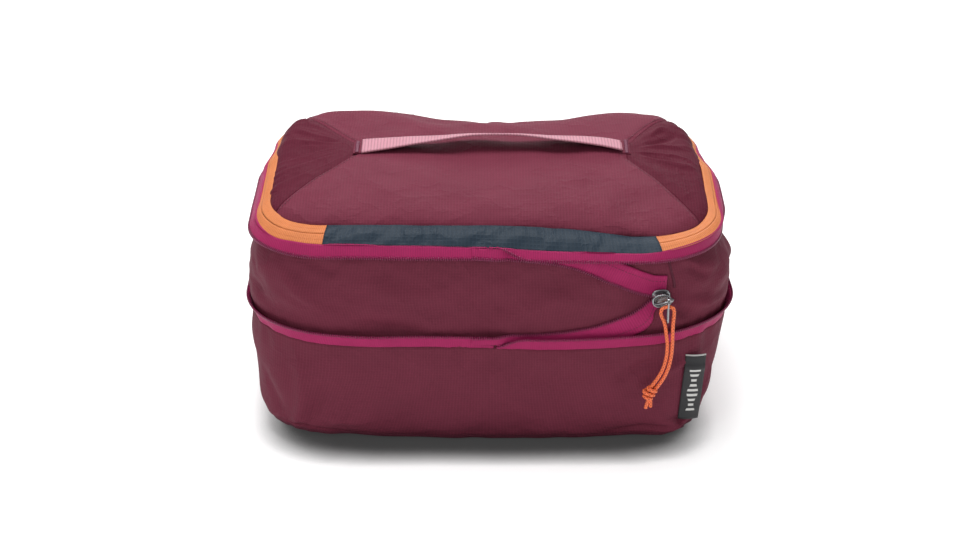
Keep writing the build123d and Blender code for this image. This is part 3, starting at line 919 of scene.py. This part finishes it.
# ---------------------------------------------------------------- ribbons of the zip's first stretch
RIBBON_END = 123.0
RIBBON_WIDTH = 16.5
RIBBON_TUCK = 1.7
# The ribbons' toothed edges: x, height.
UPPER_EDGE = [(-12, 153.6), (5, 152.2), (16, 151.4), (36, 149.6), (52, 147.0), (66, 142.6),
              (86, 133.8), (105, 125.3), (113, 122.9), (124, 122.2)]
LOWER_EDGE = [(-12, 92.8), (25, 93.2), (48, 94.8), (70, 98.8), (90, 106.2), (105, 114.2),
              (113, 119.6), (124, 121.8)]


def ribbon(side, edge_route, tape, squash):
    """A zip tape that leaves its seam and runs to the slider, with its teeth along edge_route."""
    upper = side == "upper"
    way = 1 if upper else -1
    route = np.array(edge_route, float)
    xs = np.arange(route[0, 0], RIBBON_END + 0.1, TAPE_STEP)
    edge_z = curve_through(route[:, 0], route[:, 1], xs)
    slope = np.gradient(edge_z, xs) * (1 - 0.5 * smooth_step(xs, 100, 116))
    tilt = np.stack([-slope, np.ones_like(slope)], -1) / np.hypot(slope, 1)[:, None]
    reach = np.linspace(0, RIBBON_WIDTH, 11)
    taper = 0 * xs if upper else 0.8 * smooth_step(xs, 98, 124)
    spread = way * reach * (1 - taper)[:, None]
    x = np.minimum(xs[:, None] + tilt[:, :1] * spread, RIBBON_END + 0.5)
    z = edge_z[:, None] + tilt[:, 1:] * spread
    if upper:
        z = np.minimum(z, tape[0][0] + 5.4 + RIBBON_TUCK * (1 - smooth_step(x, 9, 14)))
    else:
        z = np.maximum(z, tape[1][0] - 5.8)
    (low_z, _, low_depth, _), (high_z, _, high_depth, _) = tape
    over_tape = -np.interp(z, [low_z, high_z], [low_depth, high_depth]) - 1.3
    y = front_y(x, z) - 1.3
    y = y + (np.minimum(over_tape, y) - y) * (1 - smooth_step(x, 3, 17))
    if upper:
        y = y + 3.0 * smooth_step(z + RIM_LEAN * x, 153.0, 156.0) * smooth_step(x, 8, 22)
    grid = np.stack([x, y, z], -1)[:, ::way]
    name = f"zip_ribbon_{side}"
    strip = cloth(name, grid, xs, RIBBON_WIDTH - reach[::way], MAGENTA, 0.8)
    edge, inner, sewn = (0, 2, 7) if upper else (-1, -3, -8)
    normals = grid_normals(grid, False)
    row = teeth(name + "_teeth", grid[:, edge], grid[:, edge] - grid[:, inner], normals[:, edge],
                TOOTH_PITCH, MAGENTA_TEETH, TOOTH, 0.2)
    thread = stitches(name + "_stitches", grid[:, sewn], normals[:, sewn], 2.6, 2.0, 0.22,
                      MAGENTA_THREAD, 0.05)
    bending_piece(strip, squash, "magenta_tape", f"ribbon_{side}")
    bending_piece(row, squash, "magenta_teeth")
    bending_piece(thread, squash, "magenta_thread")


ribbon("upper", UPPER_EDGE, UPPER_TAPE, UPPER_SQUASH)
ribbon("lower", LOWER_EDGE, LOWER_TAPE, LOWER_SQUASH)

# ---------------------------------------------------------------- lid zip band
BAND_STEP = 1.6
ZIP_START = float(at_length(extent("hinge_panel")[1][0]))
ZIP_END = float(at_length(extent("hinge_panel")[0][0])) + 12
ZIP_GAP = 0.015
LID_STITCH = (1.9, 1.2, 0.2)


def band_surface(spots, shares, out, up):
    """Plain points of the band at shares of its width, their normals, and directions off it."""
    z, width, depth, radius = (np.interp(shares, [0, 0.5, 1], column) for column in zip(*BAND_LEVELS))
    points, normals = ring(spots[:, None], width, depth, radius)
    return stacked(points, z), normals, stacked(normals * out, up)


def band(name, start_share, end_share, first, last, material, bulge=0.8, side_cover=0.0):
    """A strip of the sloping band between two shares of its width. It can reach further in at the sides."""
    spots = places(BAND_STEP, first, last)
    across = np.linspace(0, 1, 7)
    even = start_share + (end_share - start_share) * across
    side = side_cover * np.exp(-((np.mod(spots, 6.0) - 3.0) / 1.15) ** 4)[:, None]
    shares = even + side * across
    grid, normals, up = band_surface(spots, shares, 0.5, 0.86)
    u = along(np.mod(spots, 12))
    crown = bulge * (1 - (2 * shares - 1) ** 2) + 4.6 * side * across ** 0.5
    grid = grid + up * (crown + 0.45 * waves(u, 0 * u, 41, 70, 50)[:, None])[..., None]
    grid = settle_band(grid, normals, shares)
    return cloth(name, grid, along(spots), even * BAND_WIDTH, material, 0.9), grid, up


rim_band, rim_grid, rim_up = band("lid_zip_tape_outer", 0.0, 0.5 - ZIP_GAP, ZIP_START, ZIP_END, ORANGE)
lid_band, lid_grid, lid_up = band("lid_zip_tape_inner", 0.5 + ZIP_GAP, 1.0, ZIP_START, ZIP_END, ORANGE)
piece(rim_band, "rim", "orange_tape", "main_zip_lower_tape")
piece(lid_band, "lid", "orange_tape", "main_zip_upper_tape")
for label, grid, up, body in (("outer", rim_grid, rim_up, "rim"), ("inner", lid_grid, lid_up, "lid")):
    row = stitches(f"lid_zip_stitches_{label}", grid[:, 3], up[:, 3], *LID_STITCH, ORANGE_THREAD, 0.05)
    piece(row, body, "orange_tape")
for label, grid, up, edge, inner, body, node in (
        ("outer", rim_grid, rim_up, -1, -2, "rim", "main_zip_lower_coil"),
        ("inner", lid_grid, lid_up, 0, 1, "lid", "main_zip_upper_coil")):
    row = teeth(f"lid_zip_teeth_{label}", grid[:, edge] - up[:, edge] * 1.3, grid[:, edge] - grid[:, inner],
                up[:, edge], TOOTH_PITCH, ORANGE_TEETH, reach=-0.9)
    piece(row, body, "orange_teeth", node)
rim_tape = band("rim_binding_tape", -0.16, 0.03, 0, 12, MAGENTA, bulge=0, side_cover=0.34)[0]
piece(rim_tape, "rim", "magenta_tape", "rim_binding")

# ---------------------------------------------------------------- hinge panel
HINGE_BEND = ("rim", "lid", (0, -0.1115, 0.1605), (0, -0.1065, 0.1650))
hinge_spots = places(BAND_STEP, ZIP_END - 0.01, 12 + ZIP_START + 0.01)
hinge_shares = np.linspace(-0.02, 1.04, 15)
hinge_u, hinge_v = along(hinge_spots - 6), hinge_shares * BAND_WIDTH
puff = np.clip(1 - (2 * hinge_shares - 1) ** 2, 0, 1)
wrinkle = (0.5 * waves(hinge_u[:, None], hinge_shares * 17, 51, 26, 30)
           + 0.25 * waves(hinge_u[:, None], hinge_shares * 17, 52, 11, 24))
relief = puff + wrinkle * np.sin(math.pi * np.clip(hinge_shares, 0, 1))
grid, normals, up = band_surface(hinge_spots, hinge_shares, 0.6, 0.8)
grid = settle_band(grid + up * relief[..., None], normals, hinge_shares[None])
hinge = cloth("hinge_cloth", grid, hinge_u, hinge_v, SLATE, 0.7)
bending_piece(hinge, HINGE_BEND, "slate_nylon", "hinge_panel")

# ---------------------------------------------------------------- lid
LID_EDGE = (155.6, 96.2, 45.0)
LID_LOW, LID_RISE = 169.6, 16.0
APEX_LEFT, APEX_RIGHT, APEX_HALF = -96.0, 99.0, 9.0
SEAM_DEPTH, SEAM_HALF, STITCH_OFFSET = 1.1, 2.4, 2.6


def edge_between(start, end):
    """The lid's edge between two places, as a function of a share from 0 to 1."""
    low, high = along(start), along(end)
    return lambda share: ring(at_length(low + (high - low) * share), *LID_EDGE)[0]


def polyline(*corners):
    """A polyline as a function of a share of its length."""
    travel = travelled(np.array(corners, float))
    return lambda share: read_at(share * travel[-1], travel, corners)


# Each seam of the lid: its end at the handle, its place on the lid's edge, and its end there.
SEAMS = {"front_left": ((APEX_LEFT, -APEX_HALF), 10.32), "back_left": ((APEX_LEFT, APEX_HALF), 7.52),
         "front_right": ((APEX_RIGHT, -APEX_HALF), 1.62), "back_right": ((APEX_RIGHT, APEX_HALF), 4.50)}
SEAMS = {name: (apex, place, tuple(edge_between(place, place)(np.array(0.0))))
         for name, (apex, place) in SEAMS.items()}


def gauge(x, y):
    """0 at the lid's middle and 1 at its edge: the scale of the rounded rectangle through a point."""
    width, depth, radius = LID_EDGE
    a, b = np.abs(x), np.abs(y)
    p, q = width - radius, depth - radius
    aa = p * p + q * q - radius * radius
    bb = -2 * (a * p + b * q)
    root = np.sqrt(np.maximum(bb * bb - 4 * aa * (a * a + b * b), 0))
    corner = (-bb - root) / (2 * aa)
    in_corner = (a > corner * p) & (b > corner * q) & (corner > 0)
    return np.where(in_corner, corner, np.maximum(a / width, b / depth))


def lid_height(x, y):
    """Height of the lid's cloth: a flat dome with fuller and emptier spots."""
    k = np.clip(gauge(x, y), 0, 1)
    corner = smooth_step(y, 15, 70) * smooth_step(np.abs(x), 80, 135)
    dome = (1 - k ** (3.8 + 2.5 * corner)) ** (0.66 - 0.06 * corner)
    puff = 3.6 * bell(np.abs(x), 92, 34) * smooth_step(y, -20, 45)
    puff += 4.4 * bell(x, -71, 23) * smooth_step(y, 30, 76)
    puff -= 4.2 * bell(x, -121, 17) * smooth_step(y, 10, 60)
    puff += 1.6 * bell(x, 84, 30) * smooth_step(y, -30, 30)
    puff += 1.6 * bell(np.abs(x), 130, 24) * smooth_step(y, 10, 62)
    slump = 3.0 * smooth_step(y, 30, 85) * np.exp(-(x / 110) ** 4)
    rise = LID_RISE + puff - slump + 0.6 * waves(x, y, 61, 150, 110) + 0.25 * waves(x, y, 62, 60, 50)
    return LID_LOW + rise * dome + lid_settle(x, y)


def patch(front, back, left, right, count_x, count_y):
    """Plan points of a four-sided patch. Each edge is a function of a share from 0 to 1."""
    a, b = np.linspace(0, 1, count_x), np.linspace(0, 1, count_y)
    front, back = front(a)[:, None], back(a)[:, None]
    left, right = left(b)[None], right(b)[None]
    a, b = a[:, None, None], b[None, :, None]
    corners = ((1 - a) * (1 - b) * front[:1] + a * (1 - b) * front[-1:]
               + (1 - a) * b * back[:1] + a * b * back[-1:])
    return (1 - b) * front + b * back + (1 - a) * left + a * right - corners


def lid_cloth(name, plan, relief, material, node):
    """A lid panel over plan points, with its own relief, a valley along the seams and a low lip."""
    x, y = plan[..., 0], plan[..., 1]
    away = np.min([from_segment(x, y, apex, end)[1] for apex, _, end in SEAMS.values()], 0)
    z = lid_height(x, y) - SEAM_DEPTH * bell(away, 0, SEAM_HALF) + relief * smooth_step(away, 0.5, 9)
    inward = 1 - gauge(x, y)
    z = z + puckers(np.arctan2(y * 1.5, x) * 118, inward * 96, 109, 16, 0.55, 12)
    grid = np.stack([narrow_lid(x, y), y, z - 1.6 * bell(inward * 100, 0, 2.5)], -1)
    item = cloth(name, grid, x + 400, y + 400 + (z - 170), material)
    piece(item, "lid", "burgundy_nylon", node)


def side_panel(side, first, second, seed):
    """A triangular lid panel between two seams, with creases that fan out from the handle."""
    first_apex, first_place, first_end = SEAMS[first]
    second_apex, second_place, second_end = SEAMS[second]
    plan = patch(polyline(first_apex, first_end), polyline(second_apex, second_end),
                 polyline(first_apex, second_apex), edge_between(first_place, second_place), 46, 84)
    a, b = np.linspace(0, 1, 46)[:, None], np.linspace(0, 1, 84)[None]
    random = np.random.default_rng(seed)
    relief = np.zeros(plan.shape[:2])
    for _ in range(15):
        at = random.uniform(0.06, 0.94)
        drift = random.uniform(-0.10, 0.10)
        width = random.uniform(0.016, 0.045)
        height = random.uniform(0.5, 1.3) * random.choice([1, 1, -1])
        begin, end = random.uniform(0.05, 0.35), random.uniform(0.7, 1.05)
        line = at + drift * (a - 0.5) + 0.02 * np.sin(6 * a + at * 20)
        envelope = smooth_step(a, begin, begin + 0.2) * smooth_step(a, end, end - 0.2)
        relief = relief + height * envelope * bell(b, line, width)
    # The side panels take the darker copy of the ripstop, which paints shade on them.
    lid_cloth(f"lid_{side}_cloth", plan, relief, BURGUNDY_SHADED, f"lid_{side}_panel")


# Folds in the lid's middle: plan points, half width, height.
LID_FOLDS = [([(75, -88), (70, -60), (72, -30)], 6, -1.2), ([(84, -90), (82, -66)], 5, 1.0),
             ([(-96, -86), (-88, -64)], 5, -0.9), ([(-118, -72), (-108, -52), (-112, -40)], 4, 1.0),
             ([(-70, 66), (-20, 60), (40, 66)], 12, -1.0), ([(60, 74), (100, 60), (122, 40)], 9, 1.2)]
(front_left, back_left), (front_right, back_right) = (
    [SEAMS[end + side] for end in ("front_", "back_")] for side in ("left", "right"))
centre_plan = patch(edge_between(front_left[1] - 12, front_right[1]),
                    edge_between(back_left[1], back_right[1]),
                    polyline(front_left[2], front_left[0], back_left[0], back_left[2]),
                    polyline(front_right[2], front_right[0], back_right[0], back_right[2]), 150, 96)
x, y = centre_plan[..., 0], centre_plan[..., 1]
centre_relief = 0.5 * waves(x, y, 71, 60, 45) + sum(fold(x, y, *entry) for entry in LID_FOLDS)
lid_cloth("lid_centre_cloth", centre_plan, centre_relief, BURGUNDY, "lid_centre_panel")
side_panel("right", "front_right", "back_right", 5)
side_panel("left", "back_left", "front_left", 8)

for name, (apex, place, end) in SEAMS.items():
    a, b = np.array(apex), np.array(end)
    across = unit(np.array([a[1] - b[1], b[0] - a[0]]))
    across *= np.sign(across @ -(a + b))
    plan = a + (b - a) * np.linspace(0.02, 0.97, 80)[:, None] + across * STITCH_OFFSET
    z = lid_height(plan[:, 0], plan[:, 1]) - SEAM_DEPTH * bell(STITCH_OFFSET, 0, SEAM_HALF) + 0.1
    path = np.column_stack([narrow_lid(plan[:, 0], plan[:, 1]), plan[:, 1], z])
    row = stitches(f"lid_seam_stitches_{name}", path, np.tile([0, 0, 1.0], (len(path), 1)), 2.8, 2.1, 0.22,
                   BURGUNDY_THREAD)
    piece(row, "lid", "burgundy_nylon")

# ---------------------------------------------------------------- handle
STRAP_WIDTH = 20.0
STRAP_LEFT, STRAP_RIGHT = -92.5, 97.0
ACROSS_STRAP = np.linspace(-0.5, 0.5, 9)


def strap_grid(xs):
    """The grab strap's upper face: it rises off the lid and leans back in its middle."""
    share = (xs - STRAP_LEFT) / (STRAP_RIGHT - STRAP_LEFT)
    arch = np.sin(math.pi * share)
    centre_y = -1.0 + 6.0 * share + 2.0 * arch
    tilt = np.radians(-4 + 9 * share + 22 * arch ** 1.4)
    across = ACROSS_STRAP * STRAP_WIDTH
    y = centre_y[:, None] + across * np.cos(tilt)[:, None]
    z = (lid_height(xs, centre_y) + 2.0 + 7.6 * arch)[:, None] - across * np.sin(tilt)[:, None]
    return np.stack([np.broadcast_to(xs[:, None], y.shape), y, z], -1)


strap_x = np.linspace(STRAP_LEFT, STRAP_RIGHT, 130)
half = len(strap_x) // 2
for side, xs, start, end, nodes in (
        ("left", strap_x[:half + 1], (-0.094, 0, 0.188), (-0.060, 0, 0.188),
         ("handle_strap", "handle_anchor_left")),
        ("right", strap_x[half:], (0.098, 0, 0.188), (0.064, 0, 0.188), ("handle_anchor_right",))):
    strap = cloth(f"handle_strap_{side}", strap_grid(xs), xs - STRAP_LEFT, np.linspace(0, STRAP_WIDTH, 9),
                  PINK, 1.3)
    bending_piece(strap, ("lid", "handle", start, end), "pink_webbing", *nodes)


def bartack(side, x, out):
    """The sewn end of the strap: a folded tape end with a block of dense stitches."""
    y0 = strap_grid(np.array([x - out * 2.0]))[0, 4, 1]
    xs = x + out * np.linspace(-0.5, 6.0, 8)
    grid_x, grid_y = np.meshgrid(xs[::out], y0 + ACROSS_STRAP * (STRAP_WIDTH - 1), indexing="ij")
    grid = np.stack([grid_x, grid_y, lid_height(grid_x, grid_y) + 0.9], -1)
    end_cloth = cloth(f"handle_tack_{side}_fold", grid, grid_x[:, 0] + 200, grid_y[0] + 200, BURGUNDY, 1.0)
    piece(end_cloth, "lid", "burgundy_nylon")
    rows = y0 + np.linspace(-0.45, 0.45, 26) * STRAP_WIDTH
    xs = np.full_like(rows, x + out * 3.2)
    axes = [np.tile(axis, (len(rows), 1)) for axis in np.eye(3)]
    block = beads(f"handle_tack_{side}_stitches", np.stack([xs, rows, lid_height(xs, rows) + 1.35], -1),
                  *axes, (1.5, 0.45, 0.35), MAGENTA_THREAD)
    piece(block, "lid", "magenta_thread", f"handle_bartack_{side}")


bartack("left", STRAP_LEFT, -1)
bartack("right", STRAP_RIGHT, 1)

# ---------------------------------------------------------------- side label
LABEL_FOOT = label_low[2] + 5.5


def tub_surface_at(x, z):
    """The tub's outer y at x on the right half of its front, and a height."""
    line = tub_grid[:, np.argmin(np.abs(tub_grid[0, :, 2] - z))]
    near = line[(line[:, 1] < 0) & (line[:, 0] > 60)]
    near = near[np.argsort(near[:, 0])]
    return np.interp(x, near[:, 0], near[:, 1])


across, up = np.linspace(0, 1, 14), np.linspace(0, 1, 30)
label_grid = np.zeros((len(across), len(up), 3))
for j, rise in enumerate(up):
    height = LABEL_FOOT + LABEL_HEIGHT * rise
    left = label_low[0] + 1.6 + 3.4 * rise
    foot = tub_surface_at(left, height) - 1.2
    stand_off = 4.6 * across - 1.2 * np.sin(math.pi * across) - 0.8 * math.sin(math.pi * rise) * across
    label_grid[:, j] = np.stack([left + LABEL_WIDTH * across, foot + stand_off, height - 2.0 * across], -1)
label = cloth("side_label_cloth", label_grid, across * LABEL_WIDTH, up * LABEL_HEIGHT, LABEL, 0.8)
piece(label, "tub", "black_woven_label", "side_label")

# ---------------------------------------------------------------- cord
CORD = 2.6
EYE = (123.7, -124.0, 120.9)
KNOT = (113.3, -123.0, 52.0)
STRAND_LEFT = [EYE, (120.7, -124.1, 120.6), (118.7, -124.3, 118.0), (118.9, -124.4, 114.4),
               (121.0, -124.3, 110.4), (122.4, -124.0, 104.8), (123.3, -123.7, 98.0),
               (124.5, -123.4, 90.0), (124.1, -123.2, 80.0), (121.8, -123.0, 70.0),
               (117.6, -123.0, 61.5), (KNOT[0] - 1.6, KNOT[1], KNOT[2] + 1)]
STRAND_RIGHT = [EYE, (126.6, -124.0, 120.5), (128.0, -124.1, 117.9), (127.9, -124.2, 113.6),
                (127.5, -124.1, 108.0), (127.5, -123.8, 100.0), (127.8, -123.5, 91.0),
                (127.3, -123.2, 80.0), (125.1, -123.1, 69.0), (120.9, -123.0, 59.8),
                (KNOT[0] + 2.0, KNOT[1], KNOT[2])]
KNOT_TURNS, KNOT_HEIGHT, KNOT_LEAN = 3.1, 10.6, math.radians(22)
TAILS = {"left": (-2.6, 0.3, -13.0), "right": (0.9, 0.6, -12.0)}
BRAID_SIDES, BRAID_STEP, BRAID_PITCH, YARN_WIDTH = 20, 0.28, 6.4, 0.4


def nurbs_points(points):
    """Points along the smooth line that a route's points control."""
    data = bpy.data.curves.new("route", "CURVE")
    data.dimensions = "3D"
    spline = data.splines.new("NURBS")
    spline.points.add(len(points) - 1)
    for target, source in zip(spline.points, points):
        target.co = (*(c * MM for c in source), 1)
    spline.order_u = 3
    spline.use_endpoint_u = True
    spline.resolution_u = 24
    holder = bpy.data.objects.new("route", data)
    SCENE.collection.objects.link(holder)
    mesh = bpy.data.meshes.new_from_object(holder)
    line = np.array([vertex.co[:] for vertex in mesh.vertices]) / MM
    bpy.data.objects.remove(holder)
    bpy.data.curves.remove(data)
    bpy.data.meshes.remove(mesh)
    return line


def braided(name, line, radius=CORD / 2):
    """A braided cord along a line, and its ring centres: two families of yarns that cross over and under."""
    lengths = travelled(line)
    at = np.linspace(0, lengths[-1], max(8, int(lengths[-1] / BRAID_STEP)))
    path = read_at(at, lengths, line)
    tangent = unit(np.gradient(path, axis=0))
    side = np.zeros_like(path)
    side[0] = unit(np.cross(tangent[0], [0.3, 1.0, 0.2]))
    for n in range(1, len(path)):
        side[n] = unit(side[n - 1] - tangent[n] * (side[n - 1] @ tangent[n]))
    around, travel = np.meshgrid(np.arange(BRAID_SIDES) * TURN / BRAID_SIDES, at)
    turn = TURN * travel / BRAID_PITCH
    sway = 0.4 * np.cos(4 * around)
    over = np.maximum(np.cos(4 * (around + turn)) * (0.6 + sway), np.cos(4 * (around - turn)) * (0.6 - sway))
    reach = radius * (0.88 + 0.20 * over)
    loops = (path[:, None] + side[:, None] * (reach * np.cos(around))[..., None]
             + np.cross(tangent, side)[:, None] * (reach * np.sin(around))[..., None])
    uv = np.zeros((len(path) - 1, BRAID_SIDES, 4, 2))
    uv[..., 0] = (np.arange(BRAID_SIDES)[:, None] + [0, 1, 1, 0]) * YARN_WIDTH
    uv[..., 1] = np.stack([at[:-1], at[:-1], at[1:], at[1:]], -1)[:, None]
    uv = np.concatenate([uv.reshape(-1, 2), np.zeros((6 * BRAID_SIDES, 2))])
    return loops_mesh(name, loops, CORD_YARN, uv), path


def wrapped_knot():
    """The loops of a tight knot in the doubled cord: it wraps round the two strands."""
    t = np.linspace(0, 1, 160)
    turn = TURN * KNOT_TURNS * t
    swell = 2.7 + 0.75 * np.sin(math.pi * t)
    line = np.stack([swell * np.cos(turn) + 0.7 * np.sin(turn * 0.5), swell * np.sin(turn) * 0.85,
                     KNOT_HEIGHT * (0.5 - t) + 0.9 * np.cos(turn + 0.6)], -1)
    c, s = math.cos(KNOT_LEAN), math.sin(KNOT_LEAN)
    return line @ np.array([[c, 0, s], [0, 1, 0], [-s, 0, c]]).T + np.array(KNOT)


def cord_tail(side, shift):
    """The cord's free end below the knot, bent a little to the right."""
    knot, shift = np.array(KNOT), np.array(shift)
    return braided(f"cord_tail_{side}", nurbs_points(
        [knot + shift * 0.12, knot + shift * 0.5 + np.array([0.5, 0.2, 0]), knot + shift]))[0]


knot_mesh = braided("cord_knot_loops", wrapped_knot(), CORD / 2 * 1.02)[0]
tails = [cord_tail(side, shift) for side, shift in TAILS.items()]
piece(knot_mesh, "compression_cord", "orange_cord", "cord_knot")
for tail in tails:
    piece(tail, "compression_cord", "orange_cord")
for side, route in (("left", STRAND_LEFT), ("right", STRAND_RIGHT)):
    strand, path = braided(f"pull_cord_{side}", nurbs_points(route))
    piece(strand, "compression_cord", "orange_cord", f"cord_strand_{side}")


# ---------------------------------------------------------------- zip end and slider
SLIDER_X, SLIDER_TILT = 119.5, 0.12
# Rings of each casting from its back to its front: scale and depth.
FRONT_PLATE = [(0.90, 0), (1.0, 0.15), (1.04, 0.7), (1.02, 1.3), (0.96, 1.75), (0.87, 1.8), (0.79, 1.3),
               (0.75, 0.75), (0.4, 0.62), (0.05, 0.6)]
BACK_PLATE = [(0.86, 0), (0.97, 0.1), (1.0, 0.5), (0.97, 1.0), (0.86, 1.25), (0.05, 1.3)]
POST = [(1, 0), (1, 7.8), (0.2, 7.9)]
# The crown that holds the pull tab: its middle line, and its half width and half height there.
CROWN_ROUTE = [(114.6, -119.6, 120.9), (116.6, -121.6, 121.8), (119.6, -123.4, 123.4),
               (122.0, -124.0, 124.2), (124.6, -124.0, 124.4), (126.3, -123.2, 124.7),
               (126.8, -121.4, 124.9), (126.4, -119.7, 124.9)]
CROWN_SIZES = [(0.7, 1.1), (0.65, 1.0), (0.6, 0.8), (0.6, 0.65), (0.6, 0.65), (0.6, 0.8), (0.7, 1.0),
               (0.8, 1.2)]


def casting(name, x, y, half, tilt, stations):
    """A rounded plate in the XZ plane from (scale, depth) stations, front towards -Y."""
    angle = np.linspace(0, TURN, 48, endpoint=False)
    wide, high = (np.sign(part) * np.abs(part) ** 0.8 * size
                  for part, size in zip((np.cos(angle), np.sin(angle)), half))
    across = wide * math.cos(tilt) - high * math.sin(tilt)
    up = wide * math.sin(tilt) + high * math.cos(tilt)
    loops = [np.stack([x + across * scale, np.full_like(across, y - depth), MEET_Z + up * scale], -1)
             for scale, depth in stations]
    return loops_mesh(name, loops, METAL)


def bar(name, route, sizes):
    """A rounded bar along a route, with its own half width and half height at each point."""
    route = np.array(route, float)
    travel = travelled(route)
    at = np.linspace(0, travel[-1], 40)
    path = np.stack([curve_through(travel, column, at) for column in route.T], -1)
    _, side, up = frames_along(path, np.tile([0, -1.0, 0.05], (len(at), 1)))
    angle = np.linspace(0, TURN, 14, endpoint=False)
    loops = [p + np.outer(np.cos(angle) * a, s) + np.outer(np.sin(angle) * b, t)
             for p, s, t, (a, b) in zip(path, side, up, read_at(at, travel, sizes))]
    return loops_mesh(name, loops, METAL)


front_plate = casting("slider_front_plate", SLIDER_X, -118.6, (6.6, 4.9), SLIDER_TILT, FRONT_PLATE)
back_plate = casting("slider_back_plate", SLIDER_X, -110.6, (6.4, 4.7), SLIDER_TILT, BACK_PLATE)
post = casting("slider_post", SLIDER_X + 4.6, -111.2, (1.3, 1.6), 0.0, POST)
crown = bar("slider_crown", CROWN_ROUTE, CROWN_SIZES)
piece(front_plate, "compression_slider", "gunmetal", "compression_slider_body")
for item in (back_plate, post, crown):
    piece(item, "compression_slider", "gunmetal")

end_x, end_z = np.linspace(126.0, 131.5, 6), np.linspace(119.4, 124.0, 6)
grid_x, grid_z = np.meshgrid(end_x, end_z, indexing="ij")
zip_end_grid = np.stack([grid_x, front_y(grid_x, grid_z) + 1.6, grid_z], -1)
piece(cloth("zip_end_cloth", zip_end_grid, end_x, end_z, MAGENTA, 0.8), "gusset_mid", "magenta_tape",
      "zip_end_tab")

# ---------------------------------------------------------------- carried-over CAD nodes
for name in ("compression_tab", "main_slider_left_body", "main_slider_right_body", "main_tab_left",
             "main_tab_right"):
    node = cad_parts[name]
    node.data.materials.clear()
    node.data.materials.append(METAL)
